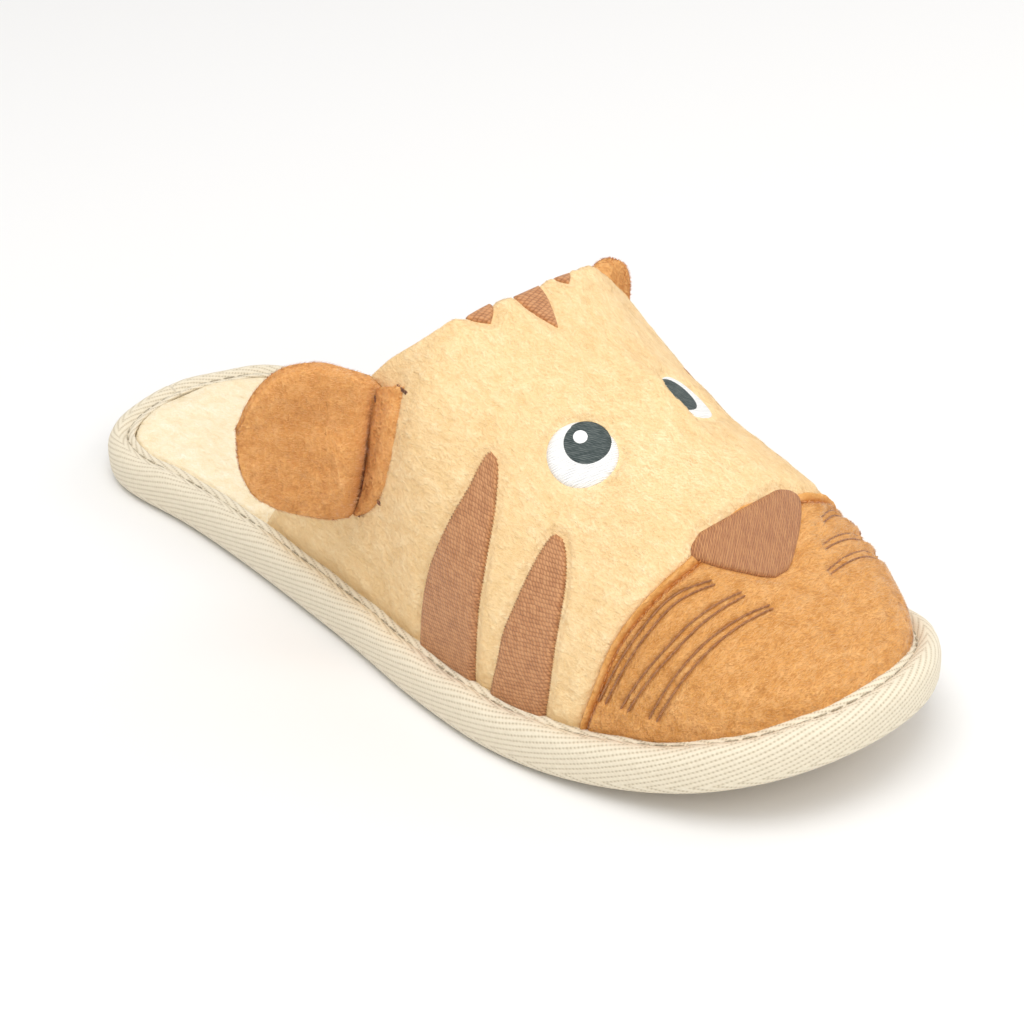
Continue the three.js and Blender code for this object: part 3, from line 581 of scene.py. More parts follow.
def nap_tree():
    """Short brushed fibres: thin blades rooted on the cloth and combed one way in clumps."""
    tree, given, out = group("brushed_fibres", [
        ("Cloth", "Geometry"), ("Density", "Float", 6e6), ("Seed", "Int", 1), ("Length", "Float", 0.0018),
        ("Width", "Float", 0.00026), ("Comb", "Vector"), ("Lift", "Float", 0.45), ("Ruffle", "Float", 0.5),
        ("Light", "Material"), ("Middle", "Material"), ("Dark", "Material")],
        [("Fibres", "Geometry")], "GeometryNodeTree")

    def vector(operation, a, b=None, scale=None):
        values = {label: value for label, value in ((0, a), (1, b), ("Scale", scale)) if value is not None}
        node = make(tree, "ShaderNodeVectorMath", values, operation=operation)
        return node.outputs["Value" if operation == "DOT_PRODUCT" else "Vector"]

    def scaled(value, scale):
        return vector("SCALE", value, scale=scale)

    amount = make(tree, "GeometryNodeInputNamedAttribute", {"Name": "nap"})
    spread = make(tree, "GeometryNodeDistributePointsOnFaces", {
        "Mesh": given["Cloth"], "Density": Formula(amount.outputs["Attribute"]) * given["Density"],
        "Seed": given["Seed"]})
    normal = spread.outputs["Normal"]
    place = make(tree, "GeometryNodeInputPosition").outputs[0]
    clump = make(tree, "ShaderNodeTexNoise", {"Vector": place, "Scale": 420, "Detail": 1})
    stray = vector("SUBTRACT", clump.outputs["Color"], (0.5, 0.5, 0.5))
    loose = make(tree, "FunctionNodeRandomValue", data_type="FLOAT_VECTOR", inputs={
        0: (-1, -1, -1), 1: (1, 1, 1)}).outputs[0]
    way = vector("ADD", vector("ADD", given["Comb"], scaled(stray, 2.4)), scaled(loose, 0.28))
    flat = vector("SUBTRACT", way, scaled(normal, vector("DOT_PRODUCT", way, normal)))
    lean = vector("ADD", vector("NORMALIZE", flat), scaled(normal, given["Lift"]))
    aim = make(tree, "FunctionNodeAlignRotationToVector", {"Vector": lean}, axis="X")
    face = make(tree, "FunctionNodeAlignRotationToVector", axis="Z", pivot_axis="X", inputs={
        "Rotation": aim.outputs[0], "Vector": normal})
    blade = make(tree, "GeometryNodeMeshCircle", {"Vertices": 3, "Radius": 0.5}, fill_type="NGON")
    vary = make(tree, "FunctionNodeRandomValue", {2: 0.65, 3: 1.2}).outputs[1]
    size = make(tree, "ShaderNodeCombineXYZ", {0: Formula(given["Length"]) * vary, 1: given["Width"], 2: 1})
    copies = make(tree, "GeometryNodeInstanceOnPoints", {
        "Points": spread.outputs["Points"], "Instance": blade.outputs[0],
        "Rotation": face.outputs[0], "Scale": size.outputs[0]})
    ruffled = scaled(vector("ADD", stray, scaled(loose, 0.3)), given["Ruffle"])
    rooted = make(tree, "GeometryNodeStoreNamedAttribute", data_type="FLOAT_VECTOR", domain="INSTANCE",
                  inputs={"Geometry": copies.outputs[0], "Name": "root_normal",
                          "Value": vector("NORMALIZE", vector("ADD", normal, ruffled))})
    tone = Formula(make(tree, "FunctionNodeRandomValue", {"Seed": 7}).outputs[1])
    toned = make(tree, "GeometryNodeStoreNamedAttribute", data_type="FLOAT", domain="INSTANCE", inputs={
        "Geometry": rooted.outputs[0], "Name": "fibre_tone",
        "Value": Formula(clump.outputs[0]) * 0.8 + tone * 0.5})
    fibres = make(tree, "GeometryNodeRealizeInstances", {0: toned.outputs[0]}).outputs[0]
    read = Formula(make(tree, "GeometryNodeInputNamedAttribute", {"Name": "fibre_tone"}).outputs["Attribute"])
    for label, above in (("Dark", -9), ("Middle", 0.56), ("Light", 0.72)):
        fibres = make(tree, "GeometryNodeSetMaterial", {
            "Geometry": fibres, "Selection": read.step("GREATER_THAN", above),
            "Material": given[label]}).outputs[0]
    wire(out, {0: fibres})
    return tree


brushed_fibres = nap_tree()


def fibre_materials(name, *tones):
    """The dark, middle and light materials of a piece's fibres."""
    materials = {label: plain_material(f"{name}_{label.lower()}", color, 0.9)
                 for label, color in zip(("Dark", "Middle", "Light"), tones)}
    for material in materials.values():
        wire(shader_of(material), {"Sheen Weight": 0.3, "Specular IOR Level": 0.12})
    return materials


def grow_nap(piece, name, tones, comb, density, length, width, lift, ruffle):
    """Fibres in mm, so many to each mm2, where the piece's "nap" mark lets them grow."""
    fibres = run_tree(piece, brushed_fibres, {
        "Density": density / MM ** 2, "Length": length * MM, "Width": width * MM, "Comb": comb,
        "Lift": lift, "Ruffle": ruffle, **tones}, name)
    mesh = fibres.data
    normals = np.empty(len(mesh.vertices) * 3, np.float32)
    mesh.attributes["root_normal"].data.foreach_get("vector", normals)
    mesh.polygons.foreach_set("use_smooth", [True] * len(mesh.polygons))
    mesh.normals_split_custom_set_from_vertices(normals.reshape(-1, 3).tolist())
    for label in ("root_normal", "fibre_tone"):
        mesh.attributes.remove(mesh.attributes[label])
    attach(fibres, "root")


FEATHER_INSET, WALL, COLLAR_FOOT = 6.8, 3.6, LENGTH / 2 - 70
BED_EDGE, BED_FOOT = 8.2, 6.5
footbed_plush = plush("footbed_plush", (0.87, 0.7, 0.42), (0.96, 0.83, 0.58), (1.0, 0.92, 0.74),
                      clump=0.8, relief=0.6)
heel, toe, half_at = inset_edge(1.8)
open_heel, _, open_half = inset_edge(FEATHER_INSET)
_, wall_toe, wall_half = inset_edge(FEATHER_INSET + WALL + 0.3)
rows, columns = 240, 90
across = np.sin(np.linspace(-1, 1, columns) * np.pi / 2)
bed_points = []
for y in end_to_end(heel, toe, rows):
    behind = smooth(y, COLLAR_FOOT + 0.3, COLLAR_FOOT + 5)
    inside = wall_toe < y < open_heel
    rim = float(wall_half(y) + (open_half(y) - wall_half(y)) * behind) if inside else 0
    x = across * float(half_at(y))
    from_rim = np.minimum(rim - np.abs(x), min(open_heel - y, y - wall_toe))
    rise = 1.85 * smooth(from_rim, -0.3, 0.9) + 0.75 * smooth(from_rim, 0.5, 6)
    bed_points.extend(np.stack([x, np.full(columns, y), BED_EDGE + rise + spring(y)], -1))
bed_points = np.array(bed_points)
swell = ripple(bed_points, 13, 3) * 0.35 + ripple(bed_points, 3.2, 9) * 0.1
bed_points[:, 2] += swell * smooth(bed_points[:, 2] - spring(bed_points[:, 1]), 8.3, 9.5)
under = bed_points.copy()
under[:, 2] = BED_FOOT + spring(under[:, 1])
footbed = shell("plush_footbed", bed_points.reshape(rows, columns, 3), under, footbed_plush)
shown = smooth(bed_points[:, 2] - spring(bed_points[:, 1]), 8.7, 9.6) * smooth(bed_points[:, 1], -95, -20)
mark(footbed, "nap", shown)
footbed_tones = fibre_materials("footbed_fibre", (0.91, 0.77, 0.53), (0.95, 0.82, 0.59), (0.98, 0.86, 0.65))
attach(footbed, "root")
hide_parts("insole")
grow_nap(footbed, "footbed_nap", footbed_tones, (0.3, -1, 0), 6.0,
         length=1.2, width=0.2, lift=0.3, ruffle=0.25)
tidy_normals(footbed)


# Upper: padded cream plush, sewn into the tape, open at the back, with a rolled collar
# and a plush lining. Its shape is the sole's edge set in and a ridge over the instep.
FEATHER, INSTEP = 8.5, 78.1
TOE_Y, COLLAR_TOP = -LENGTH / 2 + FEATHER_INSET, -LENGTH / 2 + 99.3
VAMP = COLLAR_TOP - TOE_Y
ridge_rows = [  # along the vamp, rise, squareness of the section
    (0, 0, 3), (0.018, 0.072, 3), (0.056, 0.14, 3), (0.121, 0.23, 3), (0.186, 0.305, 3),
    (0.244, 0.378, 3), (0.3, 0.465, 2.8), (0.346, 0.535, 2.6), (0.402, 0.594, 2.4),
    (0.5, 0.661, 2.2), (0.63, 0.733, 2.1), (0.76, 0.816, 2.4), (0.895, 0.918, 3.1), (1, 1, 3.7),
]
collar_rows = [  # share of the vamp's height, share of the way forward along the foot
    (0, 1), (0.22, 0.8), (0.45, 0.59), (0.65, 0.41), (0.8, 0.27), (0.87, 0.19), (0.95, 0.07), (1, 0),
]
muzzle_rows = [  # degrees up from the sole, the seam's place along the vamp
    (0, 0.46), (14, 0.428), (28, 0.403), (40, 0.376), (51, 0.356), (62, 0.345), (78, 0.356), (90, 0.364),
]
pressed_in = [  # the far side's flatter places: depth, place along, spread along, degrees round
    (3.2, 0.92, 0.18, 126), (1.5, 0.36, 0.13, 134),
]
rise_share, squareness = through(ridge_rows, 1, np.sqrt), through(ridge_rows, 2, np.sqrt)
collar_share, muzzle_share = through(collar_rows, 1), through(muzzle_rows, 1)


def ridge_rise(y):
    return (INSTEP - FEATHER) * rise_share(np.maximum((y - TOE_Y) / VAMP, 0))


def section_height(y, angle):
    """The height of the vamp's section at an angle, as a share of its ridge."""
    square = squareness(np.maximum((y - TOE_Y) / VAMP, 0))
    c, s = np.abs(np.cos(angle)), np.sin(angle)
    return s * (c ** square + s ** square) ** (-1 / square)


class VampFace:
    """The vamp's surface, set in by a distance from its outer face."""

    def __init__(self, inset):
        _, self.toe, self.half = inset_edge(FEATHER_INSET + inset)
        y = TOE_Y + VAMP * 1.3 * np.linspace(0, 1, 400)[1:] ** 2
        lean = np.arctan((ridge_rise(y + 0.02) - ridge_rise(y - 0.02)) / 0.04)
        behind = y + inset * np.sin(lean) - self.toe
        rise = ridge_rise(y) - inset * np.cos(lean)
        self.behind, self.rise = [0.0], [0.0]
        for b, r in zip(behind, rise):
            if b > self.behind[-1] and r > 0:
                self.behind.append(b)
                self.rise.append(r)

    def __call__(self, y, angle):
        y, angle = np.broadcast_arrays(np.asarray(y, float), np.asarray(angle, float))
        square = squareness(np.maximum((y - TOE_Y) / VAMP, 0))
        c, s = np.cos(angle), np.maximum(np.sin(angle), 0)
        radius = (np.abs(c) ** square + s ** square) ** (-1 / square)
        share, degrees = (y - TOE_Y) / VAMP, np.degrees(angle)
        press = sum(deep * np.exp(-((share - at) / wide) ** 2 - ((degrees - turn) / 14) ** 2)
                    for deep, at, wide, turn in pressed_in)
        rise = np.interp(np.sqrt(np.maximum(y - self.toe, 0)), np.sqrt(self.behind), self.rise)
        out, up = -self.half(y) * radius * c, rise * radius * s
        keep = 1 - press / np.maximum(np.hypot(out, up), 6)
        return np.stack([out * keep, y, FEATHER + spring(y) + up * keep], -1)


outer_face = VampFace(0)


def on_vamp(y, angle, height=0.0):
    """Points on the vamp, standing out from it by a height."""
    y, angle, height = (np.asarray(each, float) for each in np.broadcast_arrays(y, angle, height))
    along = outer_face(y + 0.02, angle) - outer_face(y - 0.02, angle)
    low, high = np.maximum(angle - 0.01, 0), np.minimum(angle + 0.01, math.pi)
    out = np.cross(outer_face(y, high) - outer_face(y, low), along)
    out /= np.maximum(np.linalg.norm(out, axis=-1, keepdims=True), 1e-9)
    return outer_face(y, angle) + out * height[..., None]


def collar_y(angle):
    """The collar's edge, which runs down and back from the top of the vamp."""
    return COLLAR_TOP + (COLLAR_FOOT - COLLAR_TOP) * collar_share(section_height(COLLAR_TOP, angle))


def from_feather(angle):
    """Degrees up from the sole, on either side."""
    return np.degrees(np.minimum(angle, np.pi - angle))


def seam_y(angle):
    """The muzzle's rear edge."""
    return TOE_Y + VAMP * muzzle_share(from_feather(angle))


class MotifFrame:
    """A flat drawing that touches the vamp, for motifs laid out in millimetres."""

    def __init__(self, along, degrees):
        self.y, self.angle = TOE_Y + VAMP * along, math.radians(degrees)
        self.origin = outer_face(self.y, self.angle)
        out = on_vamp(self.y, self.angle, 1) - self.origin
        rear = outer_face(self.y + 0.1, self.angle) - self.origin
        rear -= out * rear.dot(out)
        self.rear = rear / np.linalg.norm(rear)
        self.across = np.cross(self.rear, out)

    def under(self, across, rear):
        """The vamp's y and angle below points of the drawing."""
        across, rear = np.broadcast_arrays(np.asarray(across, float), np.asarray(rear, float))
        target = self.origin + across[..., None] * self.across + rear[..., None] * self.rear
        y, angle = self.y + rear, np.full(rear.shape, self.angle)
        for _ in range(8):
            def miss(yy, aa):
                gap = outer_face(yy, aa) - target
                return gap @ self.across, gap @ self.rear
            a, b = miss(y, angle)
            ay, by = miss(y + 0.01, angle)
            at, bt = miss(y, angle + 0.001)
            m = ((ay - a) / 0.01, (at - a) / 0.001, (by - b) / 0.01, (bt - b) / 0.001)
            area = m[0] * m[3] - m[1] * m[2]
            y, angle = y - (a * m[3] - b * m[1]) / area, angle - (m[0] * b - m[2] * a) / area
        return y, angle


# Places of the embroidery, which pulls the plush down round it. Stripes and whiskers are
# tables by degrees up from the sole; eyes, nose and forehead are drawn flat on the vamp.
FACE_SHIFT = -1.2
EYE, PUPIL, GLINT = 7.2, 4.9, 1.5
NOSE_WIDTH, NOSE_DROP, WHISKER_GAP = 31, 15, 0.62
rear_rows = [  # degrees up, front edge and rear edge along the vamp
    (0, 0.76, 0.965), (10, 0.755, 0.946), (18, 0.754, 0.919), (26, 0.752, 0.882), (33, 0.755, 0.853),
    (39, 0.762, 0.833), (44, 0.776, 0.826), (47.4, 0.79, 0.821), (48.6, 0.8, 0.815),
]
front_rows = [
    (0, 0.548, 0.71), (10, 0.537, 0.686), (18, 0.536, 0.676), (25, 0.538, 0.66), (31, 0.543, 0.65),
    (37, 0.554, 0.641), (42, 0.574, 0.633), (44.6, 0.591, 0.627), (45.7, 0.602, 0.619),
]
whisker_rows = [  # degrees up, then the three whiskers along the vamp
    (12, 0.4, 0.348, 0.284), (25, 0.367, 0.311, 0.258), (38, 0.338, 0.28, 0.236),
    (50, 0.318, 0.264, 0.222), (62, 0.291, 0.252, 0.211), (73, 0.27, 0.242, 0.201),
]
whisker_tops = ((1, 62), (2, 68), (3, 73))
nose_rows = [  # share of the drop, share of the width
    (0, 0.72), (0.1, 0.93), (0.24, 1), (0.42, 0.88), (0.6, 0.69), (0.78, 0.46), (0.92, 0.27), (1, 0.12),
]
point_rows = [(0, 0.03), (0.3, 0.48), (0.6, 0.84), (0.85, 1), (1, 1)]
forehead = {"right": (-12.7, 6.4, 3.8), "middle": (0, 7.2, 10.4), "left": (10.6, 4.6, 2.4)}
eye_drawings = {"right": (MotifFrame(0.663, 66), 1), "left": (MotifFrame(0.663, 110.5), -1)}


def stripe_places(table, count, spans):
    """A flame-shaped stripe as a grid of (y, angle), its foot just above the tape."""
    degrees = np.linspace(1, table[-1][0], count)
    front, rear = through(table, 1)(degrees), through(table, 2)(degrees)
    y = TOE_Y + VAMP * (rear[:, None] + (front - rear)[:, None] * np.linspace(0, 1, spans))
    return y, np.repeat(np.radians(degrees)[:, None], spans, 1)


def disc_places(drawing, radius, spokes, rings, across=0, rear=0):
    """A disc on a drawing as a grid of (y, angle), from its middle outward."""
    share = np.linspace(0, 1, rings)[:, None]
    spin = np.linspace(0, 2 * np.pi, spokes)
    return drawing.under(across + radius * share * np.cos(spin), rear - radius * share * np.sin(spin))


def nose_places(count, spans):
    """The nose, a rounded triangle that points to the toe."""
    drop = np.linspace(0, 1, count)[:, None]
    width = through(nose_rows, 1)(drop) * NOSE_WIDTH
    return MotifFrame(0.298, 90).under(FACE_SHIFT + width * (np.linspace(0, 1, spans) - 0.5),
                                       NOSE_DROP * (0.5 - drop))


def forehead_places(across, width, reach, count, spans):
    """A stripe that hangs from the collar: a blunt foot there and a point in front."""
    drawing = MotifFrame(1, 90)
    middle = FACE_SHIFT + across
    foot = float(collar_y(drawing.under(middle, 0.0)[1])) - COLLAR_TOP - 0.6
    rear = np.linspace(0, 1, count)[:, None]
    width = through(point_rows, 1)(rear) * width
    return drawing.under(middle + width * (np.linspace(0, 1, spans) - 0.5), foot - reach * (1 - rear))


def whisker_places(column, top_angle, offset, count=120):
    """One row of a whisker's stitches; its two rows draw closer toward the top."""
    degrees = np.linspace(13, top_angle, count)
    taper = 1.25 - 0.6 * np.linspace(0, 1, count) ** 2
    return TOE_Y + VAMP * through(whisker_rows, column)(degrees) + offset * taper, np.radians(degrees)


fills, lines = [on_vamp(*nose_places(30, 50))], []
fills.extend(on_vamp(*disc_places(drawing, EYE, 60, 12)) for drawing, _ in eye_drawings.values())
fills.extend(on_vamp(*forehead_places(*values, 18, 12)) for values in forehead.values())
for table in (rear_rows, front_rows):
    y, angle = stripe_places(table, 110, 24)
    fills.extend([on_vamp(y, angle), on_vamp(y, math.pi - angle)])
for column, top_angle in whisker_tops:
    for offset in (-WHISKER_GAP, WHISKER_GAP):
        y, angle = whisker_places(column, top_angle, offset)
        lines.extend([on_vamp(y, angle), on_vamp(y, math.pi - angle)])


def nearness(sets):
    """How far points are from the nearest point of some sets."""
    points = np.concatenate([each.reshape(-1, 3) for each in sets])
    tree = kdtree.KDTree(len(points))
    for i, point in enumerate(points):
        tree.insert(point, i)
    tree.balance()
    return lambda targets: np.array([tree.find(target)[2] for target in targets])


to_fills, to_lines = nearness(fills), nearness(lines)


def brow(flat):
    """The plush that swells between the eyes and hangs over their inner edges."""
    swell = 0
    for (drawing, inward), tall in zip(eye_drawings.values(), (0.7, 3.8)):
        across = inward * ((flat - drawing.origin) @ drawing.across)
        rear = (flat - drawing.origin) @ drawing.rear
        wall = smooth(across, PUPIL, EYE) * np.exp(-(np.maximum(across - EYE, 0) / 7.0) ** 2)
        swell = swell + tall * wall * np.exp(-((rear - 1) / 8.5) ** 2)
    return swell


def pile_height(base, shape, tall):
    """How far the plush stands out: full on open cloth, pulled down at the embroidery."""
    flat = base.reshape(-1, 3)
    fill = smooth(to_fills(flat), 0.4, 2.2)
    line = smooth(to_lines(flat), 0.15, 1.1)
    soft = ripple(flat, 11, 1) * 0.4 + ripple(flat, 4.2, 7) * 0.22 + ripple(flat, 1.7, 4) * 0.16
    height = (tall + soft) * (0.12 + 0.88 * fill) * (0.1 + 0.9 * line)
    return (height + brow(flat) * smooth(to_fills(flat), -0.3, 0.9)).reshape(shape)


def round_section(columns):
    """Angles over the vamp from side to side, closer together near the sole."""
    turns = np.linspace(0, np.pi, columns)
    angles = np.arctan2(0.62 * np.sin(turns), np.cos(turns))
    angles[0], angles[-1] = 0, np.pi
    return angles


# The vamp from its toe, hidden below the muzzle as far as the seam, then in open plush to
# the collar, where outside and lining meet in a rolled edge.
HIDDEN_ROWS, BODY_ROWS, ROLL = 12, 118, WALL / 2
angles = round_section(190)
tucked, lining_face = VampFace(1.6), VampFace(WALL)
outer_rows, inner_rows = [], []
for share in 1 - np.cos(np.linspace(0, 1, HIDDEN_ROWS) * np.pi / 2):
    for face, face_rows in ((tucked, outer_rows), (lining_face, inner_rows)):
        face_rows.append(face(face.toe + (seam_y(angles) - 0.3 - face.toe) * share, angles))
naps = [0 * angles] * HIDDEN_ROWS
bend = collar_y(angles) - ROLL
for t in np.linspace(0, 1, BODY_ROWS):
    y = seam_y(angles) + 0.1 + (bend - seam_y(angles) - 0.1) * t
    base = outer_face(y, angles)
    height = pile_height(base, y.shape, 0.95)
    height *= 0.35 + 0.65 * smooth(y - seam_y(angles), 0.0, 2.2)
    height *= 0.25 + 0.75 * smooth(from_feather(angles), 0.5, 5)
    height *= 1 + 1.0 * smooth(t, 0.82, 1.0) * smooth(from_feather(angles), 50, 62)
    outer_rows.append(on_vamp(y, angles, height))
    inner_rows.append(lining_face(y, angles))
    naps.append(smooth(to_fills(base), 0.25, 0.8) * smooth(y - seam_y(angles), 0.3, 0.9))
for step in np.linspace(0, np.pi / 2, 7)[1:]:
    depth = ROLL * (1 - math.cos(step))
    y = bend + ROLL * math.sin(step) * 1.15
    out = on_vamp(y, angles, 1) - outer_face(y, angles)
    outer_rows.append(VampFace(depth)(y, angles) + out * (height * math.cos(step))[:, None])
    inner_rows.append(VampFace(WALL - depth)(y, angles))
    naps.append(np.full(len(angles), 0.8))
outer, inner = np.array(outer_rows), np.array(inner_rows)
lining_noise = ripple(inner.reshape(-1, 3), 9, 17).reshape(inner.shape[:2]) * 0.25
inner[..., 2] += lining_noise * smooth(from_feather(angles), 8, 30)
cream_plush = plush("cream_plush", (0.84, 0.59, 0.29), (0.92, 0.68, 0.37), (0.98, 0.78, 0.48))
plush_upper = shell("plush_upper", outer, inner, cream_plush)
mark(plush_upper, "nap", naps, smooth(inner[..., 1], -60, 0) * 0.5)
tidy_normals(plush_upper, weld=False)
cream_tones = fibre_materials("cream_fibre", (0.87, 0.62, 0.32), (0.91, 0.67, 0.36), (0.95, 0.73, 0.42))
grow_nap(plush_upper, "upper_nap", cream_tones, (0.4, -0.8, -0.3), 6.5,
         length=1.4, width=0.2, lift=0.32, ruffle=0.4)
tidy_normals(plush_upper)
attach(plush_upper, "root")
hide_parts("upper")

# Muzzle: orange plush over the toe. Its rear edge is folded under and topstitched, so
# it stands up in a thin rim along the seam; two rows of thread quilt each whisker.
FRONT_ROWS, PANEL_DEPTH = 40, 1.25
gaps = np.concatenate([np.arange(24, 3, -0.55), np.arange(3, -0.01, -0.2)])
angles = round_section(300)
muzzle_back = VampFace(PANEL_DEPTH)
front = TOE_Y + np.maximum(seam_y(angles) - gaps[0] - TOE_Y, 1.0)
front_shares = 1 - np.cos(np.arange(FRONT_ROWS) / FRONT_ROWS * np.pi / 2)
panel_rows = [TOE_Y + (front - TOE_Y) * share for share in front_shares]
panel_rows.extend(np.maximum(seam_y(angles) - gap, front) for gap in gaps)
outer_rows, inner_rows, naps, shades = [], [], [], []
for y in panel_rows:
    base = outer_face(y, angles)
    gap = seam_y(angles) - y
    rim = smooth(gap, -0.05, 0.35)
    ditch = 1 - 0.8 * np.exp(-((gap - 1.7) / 0.5) ** 2)
    height = pile_height(base, y.shape, 1.0) * ditch * rim
    height += 0.2 * np.exp(-((gap - 0.6) / 0.4) ** 2) - 0.75 * (1 - rim)
    height *= 0.3 + 0.7 * smooth(from_feather(angles), 0.5, 5)
    off_line = to_lines(base)
    bare = smooth(off_line - np.where(angles < 1.7, 0.3, 0.02), 0, 0.4)
    naps.append(smooth(gap, 1.5, 2.3) * smooth(to_fills(base), 0.25, 0.8) * bare)
    # Painted shade: darker in the ditch beside the folded rim and along the edges of the whisker stitches,
    # where the plush shades them.
    shades.append(0.95 * np.exp(-((gap - 1.75) / 0.5) ** 2) + 0.3 * np.exp(-((off_line - 0.3) / 0.35) ** 2))
    outer_rows.append(on_vamp(y, angles, height))
    inner_rows.append(muzzle_back(np.maximum(y, muzzle_back.toe), angles))
orange_plush = plush("orange_plush", (0.6, 0.26, 0.065), (0.76, 0.38, 0.12), (0.88, 0.5, 0.2),
                     comb=(0.5, 1.0, 0.7), relief=1.0)
muzzle = shell("plush_muzzle", outer_rows, inner_rows, orange_plush)
mark(muzzle, "nap", naps)
mark(muzzle, "painted_shade", shades)
tidy_normals(muzzle)
orange_tones = fibre_materials("orange_fibre", (0.62, 0.29, 0.088), (0.72, 0.37, 0.128), (0.81, 0.455, 0.18))
grow_nap(muzzle, "muzzle_nap", orange_tones, (0.9, -0.5, 0.43), 9.0,
         length=1.5, width=0.24, lift=0.42, ruffle=0.85)
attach(muzzle, "root")
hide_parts("muzzle_panel")


# Embroidery: dense rows of thread in raised patches for the stripes, the nose and the
# eyes, and lines of stitches for the whiskers and along the muzzle's rim.
def thread_group():
    """Laid threads: rounded rows, each made of stitches that dip at their ends."""
    tree, given, out = group("laid_threads", [
        ("UV", "Vector"), ("Pitch", "Float", 0.6), ("Stitch", "Float", 3.0), ("Slant", "Float", 0.3)],
        [("Height", "Float"), ("Tone", "Float")])
    u, v = cloth_mm(tree, given["UV"])
    wobble = Formula(noise_in(tree, given["UV"], 350))
    rows = (v + u * given["Slant"] + wobble * 0.5) / given["Pitch"]
    number = rows.step("FLOOR")
    across = (rows.step("FRACT") - 0.5) * 2
    thread = (1 - across * across).step("MAXIMUM", 0).step("SQRT")
    start = make(tree, "ShaderNodeTexWhiteNoise", noise_dimensions="1D", inputs={"W": number})
    strand = u / given["Stitch"] + start.outputs["Value"] + across * 0.38
    ends = (strand.step("FRACT").step("PINGPONG", 0.5) * 3.2).step("MINIMUM", 1)
    height = (thread * 0.75 + 0.25) * (ends * 0.55 + 0.45)
    pair = make(tree, "ShaderNodeCombineXYZ", {0: number, 1: strand.step("FLOOR")})
    each = make(tree, "ShaderNodeTexWhiteNoise", noise_dimensions="2D", inputs={"Vector": pair.outputs[0]})
    # The tone follows the height: painted shade between rows and where stitches dip at their ends, with a
    # random tone for each stitch.
    wire(out, {"Height": height, "Tone": height * 0.65 + Formula(each.outputs["Value"]) * 0.35})
    return tree


laid_threads = thread_group()


def embroidery(name, dark, middle, light, pitch, stitch, slant, roughness=0.5):
    material = plain_material(name, middle, roughness)
    laid = place_group(material, laid_threads, "UV", Pitch=pitch, Stitch=stitch, Slant=slant)
    wire(shader_of(material), {
        "Base Color": ramp(laid.outputs["Tone"], [(0.12, dark), (0.5, middle), (0.9, light)]),
        "Normal": bump(laid.outputs["Height"], 0.7, 0.00035), "Sheen Weight": 0.08})
    return material


def patch(name, places, material, node, base=0.3, crown=0.75, mirror=False, closed=False, jagged=0.0):
    """A raised patch of threads, domed over its middle; a closed one is a disc, drawn from
    its middle, and a jagged one has stitch ends that stand out by turns along its edges."""
    y, angle = places
    rows, columns = y.shape
    flat = outer_face(y, angle)
    if closed:
        middle = flat[-1].mean(0)
        inside = np.linalg.norm(middle - flat, axis=-1)
        inside = inside[-1].mean() - inside
        u = (flat - middle) @ np.array([1.0, 0.0, 0.0])
        v = (flat - middle) @ np.array([0.0, 0.75, 0.66])
    else:
        across = np.linalg.norm(np.diff(flat, axis=1), axis=-1)
        u = np.concatenate([np.zeros((rows, 1)), np.cumsum(across, 1)], 1)
        v = lengths_along(flat[:, columns // 2])[:, None]
        inside = np.minimum(np.minimum(u, u[:, -1:] - u), np.minimum(v, v[-1] - v))
        u, v = np.broadcast_arrays(u - u[:, -1:] / 2, v)
        span = np.linspace(-1, 1, columns)
        shift = jagged * np.where(np.arange(rows) % 2, 1, -1)[:, None] * np.abs(span) ** 6
        y = y + shift * np.sign(span) * np.sign(y[:, -1:] - y[:, :1])
    height = base + crown * np.sqrt(np.clip(inside / 1.1, 0, 1))
    if mirror:
        angle = math.pi - angle
    piece = shell(name, on_vamp(y, angle, height), on_vamp(y, angle, base - 0.25), material,
                  np.stack([u, v], -1).reshape(-1, 2))
    tidy_normals(piece)
    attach(piece, "root")
    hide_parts(node)


brown_filling = embroidery("brown_filling", (0.27, 0.105, 0.036), (0.47, 0.2, 0.078), (0.62, 0.3, 0.13),
                           pitch=0.9, stitch=0.8, slant=-0.25)
for label, table in (("rear", rear_rows), ("front", front_rows)):
    for hand in ("right", "left"):
        patch(f"stripe_{label}_{hand}", stripe_places(table, 130, 22), brown_filling,
              f"side_stripe_{label}_{hand}", mirror=hand == "left", jagged=0.22)
nose_filling = embroidery("nose_filling", (0.23, 0.08, 0.026), (0.43, 0.167, 0.06), (0.57, 0.265, 0.1),
                          pitch=0.72, stitch=0.8, slant=0.9)
patch("nose_embroidery", nose_places(60, 60), nose_filling, "nose")
for hand, values in forehead.items():
    patch(f"forehead_{hand}", forehead_places(*values, 34, 16), brown_filling,
          f"forehead_stripe_{hand}")

